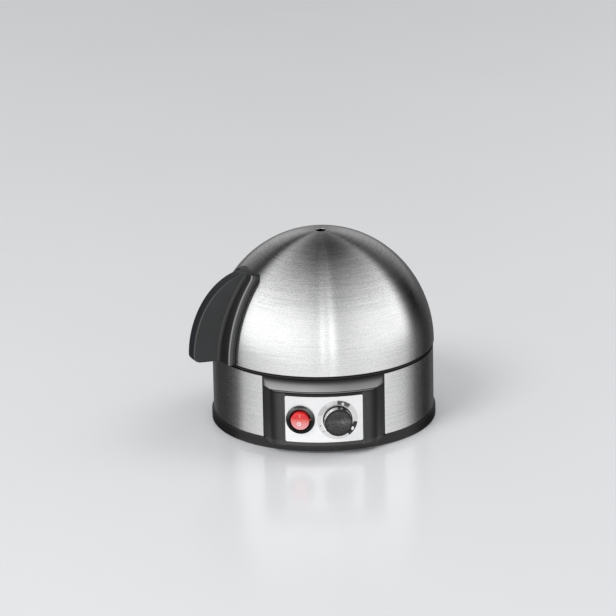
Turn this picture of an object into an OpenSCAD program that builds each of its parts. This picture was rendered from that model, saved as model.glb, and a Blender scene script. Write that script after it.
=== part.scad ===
// Electric egg cooker: a base with a steel band, a water bowl and a control panel,
// a lift-out egg tray, and a domed steel lid with a fin handle.
// The origin is where the dome's axis meets the table. The controls face -Y and +Z is up.

/* [Base] */
// Outer radius of the steel band round the base
band_r = 90; // [84:0.5:100]
// Height of the steel band
band_h = 52; // [48:0.5:62]
// Sheet thickness of the steel band
band_t = 0.6; // [0.4:0.1:1]
// Wall thickness of the plastic base housing
wall_t = 2.5; // [2:0.1:3.2]
// Height of the foot ring under the band
foot_h = 8.3; // [7:0.1:11]
// How far the foot ring stands out beyond the band
foot_out = 1.5; // [0.8:0.1:3]
// Thickness of the bottom cover
cover_t = 2.5; // [2:0.1:3.5]
// Diameter of the rubber pads under the cover
pad_d = 12; // [8:0.5:18]
// Bore of the cord gland at the rear
gland_bore_d = 6.8; // [5:0.1:8]

/* [Top of the base] */
// Height of the black lip between the band and the lid
lip_h = 2; // [1.6:0.1:3]
// Width of the ledge that carries the egg tray
ledge_w = 5; // [4:0.1:7]
// Depth of the ledge below the top of the lip
ledge_drop = 1.3; // [0.5:0.1:2.5]
// How far the water bowl's mouth lies inside the band
mouth_inset = 28; // [26:0.5:38]
// Depth of the water bowl below its flange
bowl_depth = 8.6; // [6:0.1:11]
// Sheet thickness of the water bowl
bowl_t = 1; // [0.6:0.1:1.5]

/* [Lid] */
// How far the lid stands out beyond the band
lid_out = 0.7; // [0.3:0.1:2]
// Height of the steel dome
dome_h = 94.6; // [85:0.1:110]
// Sheet thickness of the steel dome
dome_t = 0.9; // [0.7:0.1:1.3]
// Diameter of the steam hole at the top
steam_d = 8.5; // [4:0.1:14]

/* [Handle] */
// Direction of the handle, turned from -X towards the front
handle_turn = 24.5; // [0:0.5:40]
// How far the fin reaches beyond the dome's rim
fin_reach = 25.9; // [15:0.1:35]
// Thickness of the fin at its outer edge
fin_edge_t = 10.7; // [8:0.1:14]
// Thickness of the fin where it meets its flange
fin_root_t = 18.2; // [15:0.1:26]
// Height of the handle above the lid's rim
handle_h = 69.4; // [55:0.1:78]
// Width of the flange at the lid's rim
flange_w = 46.2; // [36:0.1:60]
// Thickness of the flange
flange_t = 5; // [3.5:0.1:7]

/* [Control panel] */
// How far the panel stands out beyond the band
panel_out = 8; // [6.5:0.1:12]
// Width of the panel where it meets the band
panel_w = 97; // [90:0.5:110]
// Width across the panel's front corners
front_w = 82; // [76:0.5:88]
// Wall thickness of the panel housing
panel_t = 2.2; // [1.8:0.1:2.8]
// Drop of the sloped shelf from the lid to the panel's front edge
shelf_drop = 7.6; // [5:0.1:9]
// Width of the silver face plate
plate_w = 62; // [58:0.5:70]
// Height of the silver face plate
plate_h = 38.4; // [34:0.1:41]
// Thickness of the silver face plate
plate_t = 0.9; // [0.6:0.1:1.3]
// Height of the middle of the face plate above the table
plate_z = 29.8; // [27.5:0.1:32]
// Place of the switch round the panel, from its middle
switch_turn = -11; // [-12:0.1:-10]
// Place of the dial round the panel, from its middle
dial_turn = 6.3; // [5:0.1:8]

/* [Switch] */
// Outer diameter of the switch bezel
bezel_d = 23.5; // [22:0.1:25]
// Diameter of the rocker
rocker_d = 14.9; // [13:0.1:16]
// Angle that the rocker turns through
rocker_swing = 16; // [8:1:18]
// Depth of the switch body behind the face plate
switch_depth = 16; // [14:0.5:20]

/* [Dial] */
// Diameter of the knob's skirt
knob_d = 23.7; // [20:0.1:26]
// Height of the knob above the face plate
knob_h = 8.9; // [7.5:0.1:12]
// Diameter of the control shaft
shaft_d = 6; // [4:0.1:6.5]
// Diameter of the rotary control behind the panel
control_d = 16; // [13:0.5:18]

/* [Egg tray] */
// Number of egg holes round the middle one
ring_eggs = 6; // [5:1:6]
// Diameter of an egg hole
egg_hole_d = 36; // [30:0.5:38]
// Radius of the ring of egg holes
egg_ring_r = 51; // [49.5:0.5:54]
// Height of the tray's deck above its foot
tray_rise = 8.4; // [7:0.1:12]
// Thickness of the tray
tray_t = 2; // [1.6:0.1:2.6]
// Height of the two grips above the deck
grip_h = 22; // [14:0.5:26]
// Width of each grip
grip_w = 26; // [18:0.5:34]

/* [Heater] */
// Radius of the heating tube's ring
heater_r = 33; // [26:0.5:38]
// Diameter of the heating tube
heater_d = 6.5; // [5:0.1:8]
// Radius of the aluminium plate under the bowl
heat_plate_r = 46; // [42:0.5:48]
// Diameter of the thermostat
thermostat_d = 16; // [13:0.5:18]

/* [Fasteners and clearances] */
// Shank diameter of the housing screws
screw_d = 3; // [2.4:0.1:3.5]
// Clearance between pieces that are fixed together
fit_gap = 0.15; // [0.1:0.05:0.25]
// Clearance under and round the pieces that lift off
lift_gap = 0.4; // [0.3:0.05:0.6]
// Radial clearance of a turning pin in its bore
running_gap = 0.06; // [0.03:0.01:0.09]

/* [Hidden] */
$fn = 96;
eps = 0.01;

// Base: radii and heights of the foot, the wall and the top
foot_r = band_r + foot_out;
wall_out = band_r - band_t - fit_gap;
wall_in = wall_out - wall_t;
band_top = foot_h + band_h;
lip_top = band_top + lip_h;
lip_r = band_r + 0.2;
cover_z = 1.2;
cover_top = cover_z + cover_t;
cover_r = wall_in - fit_gap;
cover_boss_r = band_r - 12;
cover_boss_h = 12;
cover_boss_turns = [45, 135, 225, 315];
pad_ring_r = band_r - 20;
gland_z = 17;
gland_neck_r = gland_bore_d / 2 + 2;
gland_flange_r = gland_neck_r + 2.2;
gland_nut_t = 4.2;

// Lid: rim height, dome radii and the hem along its edge
lid_z = lip_top + lift_gap;
dome_r = band_r + lid_out;
hem_w = 2;
hem_h = 1.9;

// Upper ring: the lip under the lid's hem, the tray ledge inside it and the funnel to the bowl
lip_in = dome_r - hem_w;
ledge_z = lip_top - ledge_drop;
ledge_in = lip_in - ledge_w;
ring_t = 2;
mouth_r = band_r - mouth_inset;
funnel_drop = 4.5;
funnel_top = ledge_z - funnel_drop;
funnel_low = funnel_top - 1.5;
skirt_out = wall_in - fit_gap;
skirt_h = 8;
ring_screw_r = band_r - 11;
ring_screw_turns = [30, 150, 210, 330];
tab_top = band_top - 12.3;
tab_t = 2.5;
tab_w = 9;

// Bowl: the seal, the flange, the clamp ring and the heater hang below the funnel's edge
seal_t = 1.2;
flange_top = funnel_low - ring_t - seal_t - fit_gap;
bowl_r = mouth_r - 1;
bowl_flange_r = mouth_r + 4;
bowl_floor = flange_top - bowl_depth;
clamp_t = 1.4;
clamp_top = flange_top - bowl_t;
clamp_screw_r = mouth_r + 9;
clamp_screw_turns = [0, 60, 120, 180, 240, 300];
heat_plate_t = 1.6;
heat_plate_z = bowl_floor - bowl_t - heat_plate_t;
heater_z = heat_plate_z - heater_d / 2;
heater_open = 50;
heater_drop = 9;
heater_pin_d = 2.4;
thermostat_h = 7;
fuse_d = 4.2;
fuse_l = 12;
blade_w = 6.2;
blade_t = 0.8;
blade_l = 8.5;

// Screws: one pan-head form for all of them
screw_r = screw_d / 2;
pilot_r = screw_r + 0.05;
head_r = screw_d * 1.1;
head_h = screw_d * 0.7;

// Panel: the plan of the housing and the frame in which the controls stand
front_r = band_r + panel_out;
panel_back = wall_out + fit_gap;
panel_half_turn = asin(panel_w / 2 / band_r);
front_half_turn = asin(front_w / 2 / front_r);
panel_low = 6;
panel_high = band_top - 0.3;
shelf_front_z = panel_high - shelf_drop;
shelf_dip = 0.9;
shelf_bead = 0.7;
groove_depth = 0.4;
groove_w = 0.6;
panel_corner_r = 12;
panel_inner_r = front_r - plate_t - 1.9;
face_r = front_r + 0.2;
plate_margin = 0.35;
window_w = 76;
window_low = 10;
window_high = band_top - 4.3;

// Switch: the pocket that the rocker swings in, and its pivot
bezel_r = bezel_d / 2;
rocker_r = rocker_d / 2;
bezel_h = 2.3;
pocket_r = rocker_r + 0.9;
pocket_mouth_r = pocket_r + 1.1;
switch_r = bezel_r - 1.9;
pocket_depth = 7;
pivot_z = -1;
pivot_pin_r = 0.9;
rocker_high = 3.6;
rocker_low = -3.2;
rocker_dish_r = 30;

// Dial: the bushing, the nut and the rotary control's depth
shaft_r = shaft_d / 2;
bushing_r = shaft_r + 0.9;
bushing_top = 2.6;
nut_r = bushing_r + 1.9;
nut_h = 1.9;
skirt_r = knob_d / 2;
skirt_low = 0.4;
skirt_t = 1.8;
knob_side_z = knob_h - 1;
knob_edge_r = skirt_r - 0.65;
knob_core_r = knob_edge_r - 1.1;
control_front = sqrt(pow(panel_inner_r, 2) - pow(control_d / 2, 2)) - face_r - fit_gap;
control_h = 7.6;
control_back = control_front - control_h;
pointer_turn = 225;

// Circuit board: it stands behind the rotary control, in the dial's frame
board_t = 1.6;
board_front = control_back - fit_gap;
board_back = board_front - board_t;
board_left = -13.5;
board_w = 39.5;
board_h = 36;
board_screw_spots = [[-9.5, 14], [21.5, -14]];
relay_size = [15, 17, 12];
capacitor_d = 8;
capacitor_h = 12;
buzzer_d = 12;
buzzer_h = 7;

// Handle: ellipses of the flange and of the fin's outer edge
handle_azimuth = 180 + handle_turn;
handle_top = lid_z + handle_h;
flange_half_turn = asin(flange_w / 2 / dome_r);
fin_low = lid_z + 0.5;
fin_mid = lid_z + 3.3;
fin_tip_r = dome_r + fin_reach;
fin_arc_r = fin_tip_r * 0.4537;
fin_ridge = 1.2;
fin_arc_h = handle_top + fin_ridge - fin_mid;
fin_heel_r = 6;
fin_round = 1.2;
fin_fillet = 1.6;
fin_draft = (fin_root_t - fin_edge_t) / 2 / (fin_reach - flange_t);
flange_round = 3;
flange_corner = 4;
flange_gap = 0.3;
handle_screw_steps = [10, 30];

// Tray: its rim, which centres the lid, its skirt and deck, and the collar round each hole
rim_r = lip_in - lift_gap;
rim_t = 1.6;
rim_top = lid_z + 3.3;
tray_z = ledge_z + lift_gap - 0.1;
tray_skirt_r = ledge_in - lift_gap - 0.5;
deck_low = tray_z + tray_rise - tray_t;
deck_top = tray_z + tray_rise;
egg_r = egg_hole_d / 2;
collar_w = 3.2;
collar_h = 3.5;
egg_spots = concat([[0, 0]], [for (i = [0:ring_eggs - 1]) polar(egg_ring_r, 30 + i * 360 / ring_eggs)]);

// Point at a radius and an angle
function polar(r, a) = [r * cos(a), r * sin(a)];

// Points of a circular arc
function arc(c, r, from, to, n = 8) =
  [for (i = [0:n]) c + polar(r, from + (to - from) * i / n)];

// Points of an elliptical arc round [0, z]
function ellipse_arc(a, b, z, from, to, n = 36) =
  [for (i = [0:n]) let (t = from + (to - from) * i / n) [a * cos(t), z + b * sin(t)]];

// Points between two ends, bowed towards the left by a dip
function bowed(p, q, dip, n = 8) =
  let (d = q - p, side = [-d[1], d[0]] / norm(d))
  [for (i = [0:n]) let (t = i / n) p + d * t + side * dip * 4 * t * (1 - t)];

// Radius at a height, on an ellipse of revolution that starts at the lid's rim
function dome_at(z, out = 0) = (dome_r + out) * sqrt(1 - pow((z - lid_z) / (dome_h + out), 2));

// Places copies round the axis
module around(r, turns) {
  for (a = turns) rotate([0, 0, a]) translate([r, 0, 0]) children();
}

// Frame on the panel's face: X to the right, Y up, Z out towards the user
module on_panel(turn) {
  rotate([0, 0, turn]) translate([0, -face_r, plate_z]) rotate([90, 0, 0]) children();
}

// Frame on the dome over the handle: Z out along the dome's normal
module on_dome(step) {
  lean = atan2(sin(step) / dome_h, cos(step) / dome_r);
  rotate([0, 0, handle_azimuth])
    translate([dome_r * cos(step), 0, lid_z + dome_h * sin(step)])
      rotate([0, 90 - lean, 0])
        children();
}

// Pan-head screw: its head lies below Z = 0 and its shank points up
module screw(length) {
  cylinder(r = screw_r, h = length);
  difference() {
    translate([0, 0, -head_h]) cylinder(r1 = head_r * 0.8, r2 = head_r, h = head_h);
    translate([-head_r, -0.4, -head_h - eps]) cube([2 * head_r, 0.8, head_h / 2]);
  }
}

// Solid skinned over rings of points, all with the same count
module skin(rings) {
  n = len(rings[0]);
  last = len(rings) - 1;
  points = [for (ring = rings) for (p = ring) p];
  sides = [
    for (k = [0:last - 1]) for (i = [0:n - 1])
      let (a = k * n + i, b = k * n + (i + 1) % n)
      each [[a, b + n, b], [a, a + n, b + n]]
  ];
  low_cap = [for (i = [0:n - 1]) i];
  high_cap = [for (i = [n - 1:-1:0]) last * n + i];
  polyhedron(points, concat([low_cap], sides, [high_cap]));
}

// Base housing: foot ring and wall, with screw bosses, tabs for the upper ring and the panel's window
module base_housing() {
  wall = concat(
    [[wall_in, 0], [foot_r - 0.6, 0], [foot_r, 0.6]],
    arc([foot_r - 1.2, foot_h - 1.2], 1.2, 0, 90),
    [[wall_out, foot_h], [wall_out, band_top], [wall_in, band_top],
     [wall_in, cover_top + 4.8], [wall_in - 2.8, cover_top + 2], [wall_in - 2.8, cover_top],
     [wall_in, cover_top]]
  );
  color("#26282a") difference() {
    union() {
      rotate_extrude() polygon(wall);
      around(cover_boss_r, cover_boss_turns) cover_boss();
      around(0, ring_screw_turns) ring_tab();
    }
    translate([-window_w / 2, -band_r - 5, window_low])
      cube([window_w, 30, window_high - window_low]);
    translate([0, wall_in - 5, gland_z]) rotate([-90, 0, 0])
      cylinder(r = gland_neck_r + fit_gap, h = 15);
  }
}

// Screw boss for the bottom cover, with a rib to the wall
module cover_boss() {
  difference() {
    union() {
      translate([0, 0, cover_top]) cylinder(r = screw_d + 1.2, h = cover_boss_h);
      translate([0, -1, cover_top])
        cube([wall_in - cover_boss_r + 0.5, 2, cover_boss_h * 0.8]);
    }
    translate([0, 0, cover_top - 1]) cylinder(r = pilot_r, h = cover_boss_h);
  }
}

// Tab on the wall that carries one of the upper ring's screws
module ring_tab() {
  difference() {
    translate([ring_screw_r - 5, -tab_w / 2, tab_top - tab_t])
      cube([wall_in - ring_screw_r + 5.5, tab_w, tab_t]);
    translate([ring_screw_r, 0, tab_top - tab_t - 1]) cylinder(r = screw_r + 0.4, h = tab_t + 2);
  }
}

// Steel band: a sheet round the base, open at the panel and drilled for the gland
module steel_band() {
  open_turn = panel_half_turn + 0.2;
  color("#c9cbcd") difference() {
    rotate([0, 0, -90 + open_turn]) rotate_extrude(angle = 360 - 2 * open_turn)
      translate([band_r - band_t, foot_h + 0.05]) square([band_t, band_h - 0.1]);
    translate([0, band_r - 5, gland_z]) rotate([-90, 0, 0])
      cylinder(r = gland_neck_r + fit_gap, h = 10);
  }
}

// Bottom cover: a disc with vent slots, pockets for the pads and countersunk screw holes
module bottom_cover() {
  slot_w = 2.6;
  slot_pitch = 7;
  color("#26282a") difference() {
    translate([0, 0, cover_z]) union() {
      cylinder(r = cover_r, h = cover_t - 0.05);
      around(pad_ring_r, [0:90:270]) cylinder(r = pad_d / 2 + 2, h = cover_t + 1);
    }
    around(pad_ring_r, [0:90:270])
      cylinder(r = pad_d / 2 + fit_gap, h = cover_z + 1.2);
    around(cover_boss_r, cover_boss_turns) {
      cylinder(r = screw_r + 0.4, h = cover_top + 5);
      cylinder(r = head_r + 0.4, h = cover_z + 0.9);
    }
    for (i = [-4:4]) {
      reach = 30 - abs(i) * 3;
      for (side = [-1, 1])
        translate([side * (reach / 2 + 4) - reach / 2, i * slot_pitch - slot_w / 2, 0])
          cube([reach, slot_w, cover_top + 5]);
    }
  }
}

// Rubber pads, level with the foot ring's underside
module foot_pads() {
  color("#1c1d1e") around(pad_ring_r, [0:90:270]) difference() {
    cylinder(r = pad_d / 2, h = cover_z + 1.15);
    translate([0, 0, -1]) cylinder(r = pad_d / 6, h = 1.6);
  }
}

// Screws that hold the bottom cover
module cover_screws() {
  color("#9a9c9e") around(cover_boss_r, cover_boss_turns)
    translate([0, 0, cover_z + 0.85]) screw_in_recess();
}

// Cover screw: its head is lower than the others' so that it stays above the table
module screw_in_recess() {
  cylinder(r = screw_r, h = cover_boss_h - 2);
  difference() {
    translate([0, 0, -1.6]) cylinder(r1 = head_r * 0.8, r2 = head_r, h = 1.6);
    translate([-head_r, -0.4, -1.6 - eps]) cube([2 * head_r, 0.8, 0.8]);
  }
}

// Cord gland: a flanged bushing with a nut inside the wall
module cord_gland() {
  color("#1c1d1e") translate([0, 0, gland_z]) rotate([-90, 0, 0]) difference() {
    union() {
      translate([0, 0, band_r + 0.05]) cylinder(r = gland_flange_r, h = 1.6);
      translate([0, 0, band_r + 1.6]) cylinder(r1 = gland_flange_r, r2 = gland_neck_r, h = 2.2);
      translate([0, 0, wall_in - gland_nut_t - 0.8])
        cylinder(r = gland_neck_r, h = band_r - wall_in + gland_nut_t + 1.8);
      translate([0, 0, wall_in - gland_nut_t - 0.4]) cylinder(r = gland_flange_r, h = gland_nut_t);
    }
    translate([0, 0, wall_in - gland_nut_t - 2]) cylinder(r = gland_bore_d / 2, h = 20);
  }
}

// Upper ring: lip under the lid, tray ledge, funnel to the bowl and a skirt inside the housing
module upper_ring() {
  section = [
    [lip_r - 0.9, band_top], [lip_r - 0.9, band_top + 0.5], [lip_r, band_top + 0.8],
    [lip_r, lip_top - 0.4], [lip_r - 0.4, lip_top], [lip_in, lip_top],
    [lip_in, ledge_z], [ledge_in, ledge_z], [ledge_in, funnel_top + 1],
    [ledge_in - 1, funnel_top], [mouth_r + 0.6, funnel_low], [mouth_r, funnel_low - 0.6],
    [mouth_r, funnel_low - ring_t], [skirt_out - 2.2, funnel_top - ring_t],
    [skirt_out - 2.2, band_top - skirt_h], [skirt_out, band_top - skirt_h], [skirt_out, band_top]
  ];
  color("#26282a") difference() {
    union() {
      rotate_extrude() polygon(section);
      around(ring_screw_r, ring_screw_turns)
        translate([0, 0, tab_top]) cylinder(r = screw_d + 1, h = funnel_top - tab_top - 1);
      around(clamp_screw_r, clamp_screw_turns)
        translate([0, 0, clamp_top]) cylinder(r = screw_d + 0.5, h = funnel_top - clamp_top - 1.5);
    }
    around(ring_screw_r, ring_screw_turns)
      translate([0, 0, tab_top - 1]) cylinder(r = pilot_r, h = funnel_top - tab_top - 2);
    around(clamp_screw_r, clamp_screw_turns)
      translate([0, 0, clamp_top - 1]) cylinder(r = pilot_r, h = funnel_low - clamp_top - 0.2);
  }
}

// Screws from below, through the housing's tabs into the upper ring
module ring_screws() {
  color("#9a9c9e") around(ring_screw_r, ring_screw_turns)
    translate([0, 0, tab_top - tab_t]) screw(tab_t + funnel_top - tab_top - 4);
}

// Heating bowl: a pressed dish with a flat flange
module heating_bowl() {
  inside = concat(
    [[bowl_flange_r, flange_top]],
    arc([bowl_r + 1.2, flange_top - 1.2], 1.2, 90, 155),
    arc([bowl_r - 6.5, bowl_floor + 3], 3, -25, -90),
    [[0, bowl_floor]]
  );
  outside = concat(
    [[0, bowl_floor - bowl_t]],
    arc([bowl_r - 6.5, bowl_floor + 3], 3 + bowl_t, -90, -25),
    arc([bowl_r + 1.2, flange_top - 1.2], 1.2 - bowl_t, 155, 90),
    [[bowl_flange_r, flange_top - bowl_t]]
  );
  color("#8f9193") rotate_extrude() polygon(concat(inside, outside));
}

// Silicone seal between the funnel's edge and the bowl's flange
module bowl_seal() {
  color("#b9bbbd") rotate_extrude() polygon([
    [bowl_r + 0.2, flange_top + fit_gap / 2], [bowl_flange_r, flange_top + fit_gap / 2],
    [bowl_flange_r, flange_top + seal_t], [mouth_r - fit_gap, flange_top + seal_t],
    [mouth_r - fit_gap, funnel_low - 0.8], [bowl_r + 0.2, funnel_low - 1.2]
  ]);
}

// Steel ring that clamps the bowl's flange from below
module clamp_ring() {
  color("#9a9c9e") translate([0, 0, clamp_top - clamp_t]) difference() {
    cylinder(r = clamp_screw_r + screw_d + 0.8, h = clamp_t - 0.02);
    translate([0, 0, -1]) cylinder(r = bowl_r + 1.6, h = clamp_t + 2);
    around(clamp_screw_r, clamp_screw_turns)
      translate([0, 0, -1]) cylinder(r = screw_r + 0.3, h = clamp_t + 2);
  }
}

// Screws that hold the clamp ring
module clamp_screws() {
  color("#9a9c9e") around(clamp_screw_r, clamp_screw_turns)
    translate([0, 0, clamp_top - clamp_t]) screw(clamp_t + funnel_low - clamp_top - 2);
}

// Aluminium plate that spreads the heat under the bowl
module heat_plate() {
  color("#b4b6b8") translate([0, 0, heat_plate_z])
    cylinder(r = heat_plate_r, h = heat_plate_t - 0.02);
}

// Heating tube: an open ring with two cold ends turned down
module heating_tube() {
  color("#77797b") translate([0, 0, heater_z - 0.02]) {
    rotate([0, 0, 90 + heater_open / 2]) rotate_extrude(angle = 360 - heater_open)
      translate([heater_r, 0]) circle(d = heater_d);
    around(heater_r, [90 - heater_open / 2, 90 + heater_open / 2]) {
      sphere(d = heater_d);
      translate([0, 0, -heater_drop]) cylinder(d = heater_d, h = heater_drop);
      translate([0, 0, -heater_drop - 6]) cylinder(d = heater_pin_d, h = 7);
    }
  }
}

// Thermostat: a capped disc under the plate's middle with two blade terminals
module thermostat() {
  top = heat_plate_z - 0.02;
  flange_h = 1.4;
  low = top - flange_h - thermostat_h;
  color("#3a3c3e") {
    translate([0, 0, top - flange_h]) cylinder(d = thermostat_d * 1.25, h = flange_h);
    translate([0, 0, low]) cylinder(d = thermostat_d, h = thermostat_h + 0.5);
    for (side = [-1, 1])
      translate([side * thermostat_d / 4 - blade_t / 2, -blade_w / 2, low - blade_l + 1])
        cube([blade_t, blade_w, blade_l]);
  }
}

// Thermal fuse, held to the plate by its clip
module thermal_fuse() {
  r = fuse_d / 2;
  clip_w = fuse_l / 3;
  color("#b08d3e") translate([0, -heater_r * 0.6, heat_plate_z - r - 0.1]) {
    rotate([0, 90, 0]) cylinder(r = r, h = fuse_l, center = true);
    rotate([0, 90, 0]) cylinder(r = r * 0.28, h = 2 * fuse_l, center = true);
    translate([-clip_w / 2, -r - blade_t, -r]) cube([clip_w, blade_t + 0.2, 2 * r + 0.08]);
    translate([-clip_w / 2, -r - clip_w - 1, r - blade_t]) cube([clip_w, clip_w + 1, blade_t + 0.08]);
  }
}

// Plan of the control housing, shrunk by an inset
module panel_plan(inset) {
  plan_r = front_r + 0.05;
  corner_l = polar(plan_r, -90 - front_half_turn);
  corner_r = polar(plan_r, -90 + front_half_turn);
  side_l = polar(band_r, -90 - panel_half_turn);
  side_r = polar(band_r, -90 + panel_half_turn);
  deep = 4;
  outline = concat(
    [corner_l + (side_l - corner_l) * deep],
    arc([0, 0], plan_r, -90 - front_half_turn, -90 + front_half_turn, 24),
    [corner_r + (side_r - corner_r) * deep]
  );
  sector = [[0, 0], side_l * 1.5, side_r * 1.5];
  offset(delta = -inset) intersection() {
    offset(r = panel_corner_r, $fn = 48) offset(delta = -panel_corner_r) polygon(outline);
    polygon(sector);
  }
}

// Control housing: a shell over the base's window, with the sloped shelf on top
module control_housing() {
  bead = arc([front_r - shelf_bead, shelf_front_z - shelf_bead], shelf_bead, 0, 90, 5);
  groove_out = front_r - shelf_bead - 0.2;
  groove_in = groove_out - groove_w;
  groove_z = shelf_front_z - groove_depth;
  shelf = bowed([groove_in, shelf_front_z + 0.3], [band_r - 0.2, panel_high], shelf_dip);
  over_foot = foot_h + 0.3;
  past_foot = foot_r + 0.3;
  skin_section = concat(
    [[panel_back, over_foot], [past_foot, over_foot], [past_foot, panel_low],
     [front_r - 0.8, panel_low], [front_r, panel_low + 0.8]],
    bead,
    [[groove_out, groove_z], [groove_in, groove_z]],
    shelf,
    [[panel_back, panel_high]]
  );
  hollow_section = [
    [panel_back - 1, over_foot + panel_t], [past_foot + panel_t, over_foot + panel_t],
    [panel_inner_r, over_foot + panel_t], [panel_inner_r, shelf_front_z - panel_t],
    [band_r, panel_high - panel_t - 0.8], [panel_back - 1, panel_high - panel_t - 0.8]
  ];
  color("#2b2d2f") difference() {
    union() {
      difference() {
        intersection() {
          rotate_extrude() polygon(skin_section);
          linear_extrude(height = band_top) panel_plan(0);
        }
        intersection() {
          rotate_extrude() polygon(hollow_section);
          linear_extrude(height = band_top) panel_plan(panel_t);
        }
      }
      on_panel(dial_turn) for (spot = board_screw_spots) board_boss(spot);
    }
    plate_shape(plate_t + 0.05, plate_margin);
    on_panel(switch_turn) translate([0, 0, -10]) cylinder(r = switch_r + fit_gap, h = 20);
    on_panel(dial_turn) {
      translate([0, 0, -9]) cylinder(r = bushing_r + fit_gap, h = 20);
      for (spot = board_screw_spots)
        translate([spot[0], spot[1], board_front - 1]) cylinder(r = pilot_r, h = 6.5);
    }
  }
}

// Boss that carries the circuit board from the panel's inner wall
module board_boss(spot) {
  wall_z = sqrt(pow(panel_inner_r + 0.6, 2) - pow(spot[0], 2)) - face_r;
  translate([spot[0], spot[1], board_front + 0.05])
    cylinder(r = screw_d, h = wall_z - board_front - 0.05);
}

// Curved rectangle on the panel's face, with a depth below it and a margin round it
module plate_shape(depth, margin) {
  intersection() {
    difference() {
      cylinder(r = face_r, h = band_top);
      translate([0, 0, -1]) cylinder(r = face_r - depth, h = band_top + 2);
    }
    translate([0, 0, plate_z]) rotate([90, 0, 0]) linear_extrude(height = front_r + 20)
      offset(r = 1.2 + margin, $fn = 32) square([plate_w - 2.4, plate_h - 2.4], center = true);
  }
}

// Face plate: a curved silver sheet with holes for the switch and the dial
module face_plate() {
  color("#dcdddf") difference() {
    plate_shape(plate_t, 0);
    on_panel(switch_turn) translate([0, 0, -10]) cylinder(r = switch_r + fit_gap, h = 20);
    on_panel(dial_turn) translate([0, 0, -9]) cylinder(r = bushing_r + fit_gap, h = 20);
  }
}

// Switch body: bezel, round barrel with the rocker's pocket and two pin sockets, and clips
module switch_body() {
  clip_front = control_front - 1.4;
  color("#1c1d1e") on_panel(switch_turn) difference() {
    union() {
      translate([0, 0, 0.05]) cylinder(r1 = bezel_r, r2 = bezel_r - 0.5, h = bezel_h);
      translate([0, 0, -switch_depth]) cylinder(r = switch_r, h = switch_depth + 1);
      for (side = [-1, 1]) translate([-3, side * (switch_r - 0.5) - 0.9, clip_front - 6])
        cube([6, 1.8, 6]);
    }
    translate([0, 0, 0.8]) cylinder(r1 = pocket_r, r2 = pocket_mouth_r, h = bezel_h - 0.8 + 0.06);
    translate([0, 0, -pocket_depth]) cylinder(r = pocket_r, h = pocket_depth + 2);
    translate([0, 0, pivot_z]) rotate([0, 90, 0])
      cylinder(r = pivot_pin_r + running_gap, h = 2 * (pocket_r + 1.1), center = true);
  }
}

// Three blade terminals at the back of the switch
module switch_terminals() {
  color("#c8a45a") on_panel(switch_turn) for (x = [-switch_r / 2, 0, switch_r / 2])
    translate([x - blade_t / 2, -blade_w / 2, -switch_depth - blade_l])
      cube([blade_t, blade_w, blade_l - 0.05]);
}

// Rocker: a dished disc on two pins, standing with its lower half pressed in
module switch_rocker() {
  pin_half = pocket_r + 0.8;
  color([0.85, 0.1, 0.1]) on_panel(switch_turn)
    translate([0, 0, pivot_z]) rotate([rocker_swing / 2, 0, 0]) translate([0, 0, -pivot_z])
      difference() {
        union() {
          translate([0, 0, pivot_z + 0.6]) cylinder(r = rocker_r, h = rocker_high - pivot_z - 0.6);
          translate([0, 0, rocker_low]) cylinder(r = rocker_r - 0.5, h = rocker_high - rocker_low - 1.5);
          translate([0, 0, pivot_z]) rotate([0, 90, 0])
            cylinder(r = pivot_pin_r, h = 2 * pin_half, center = true);
        }
        translate([0, 0, rocker_high - 1 + rocker_dish_r]) rotate([0, 90, 0])
          cylinder(r = rocker_dish_r, h = 3 * rocker_r, center = true, $fn = 180);
      }
}

// Rotary control: its round case behind the panel and the threaded bushing through it
module dial_control() {
  color("#8b8d8f") on_panel(dial_turn) difference() {
    union() {
      translate([0, 0, control_back]) cylinder(d = control_d, h = control_h);
      translate([0, 0, control_front - 1]) cylinder(r = bushing_r, h = bushing_top - control_front + 1);
    }
    translate([0, 0, control_back + 1]) cylinder(r = shaft_r + running_gap, h = 30);
  }
}

// Nut on the bushing, under the knob
module dial_nut() {
  color("#b4b6b8") on_panel(dial_turn) translate([0, 0, 0.1]) difference() {
    cylinder(r = nut_r, h = nut_h, $fn = 6);
    translate([0, 0, -1]) cylinder(r = bushing_r + 0.05, h = nut_h + 2);
  }
}

// Shaft of the rotary control, with a flat for the knob
module dial_shaft() {
  shaft_low = control_back + 1.4;
  shaft_top = knob_side_z - 1.4;
  color("#c9cbcd") on_panel(dial_turn) difference() {
    translate([0, 0, shaft_low]) cylinder(r = shaft_r, h = shaft_top - shaft_low);
    translate([-shaft_r, shaft_r * 0.5, bushing_top + 0.3])
      cube([2 * shaft_r, shaft_r, shaft_top]);
  }
}

// Knob: skirt with a pointer, and a core that takes the shaft
module knob() {
  recess_top = bushing_top + 0.3;
  color("#1c1d1e") on_panel(dial_turn) difference() {
    union() {
      translate([0, 0, skirt_low]) cylinder(r = skirt_r, h = skirt_t - 0.4);
      translate([0, 0, skirt_low + skirt_t - 0.4]) cylinder(r1 = skirt_r, r2 = skirt_r - 0.4, h = 0.4);
      translate([0, 0, skirt_low]) cylinder(r = knob_core_r, h = knob_side_z - skirt_low - 0.05);
      rotate([0, 0, pointer_turn]) translate([skirt_r - 0.5, 0, skirt_low])
        cylinder(r = 1.3, h = skirt_t - 0.7);
    }
    translate([0, 0, -1]) cylinder(r = nut_r + 0.6, h = recess_top + 1);
    difference() {
      cylinder(r = shaft_r + 0.05, h = knob_side_z - 1.2);
      translate([-shaft_r - 1, shaft_r * 0.5 + 0.05, recess_top])
        cube([2 * shaft_r + 2, shaft_r, knob_h]);
    }
  }
}

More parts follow.
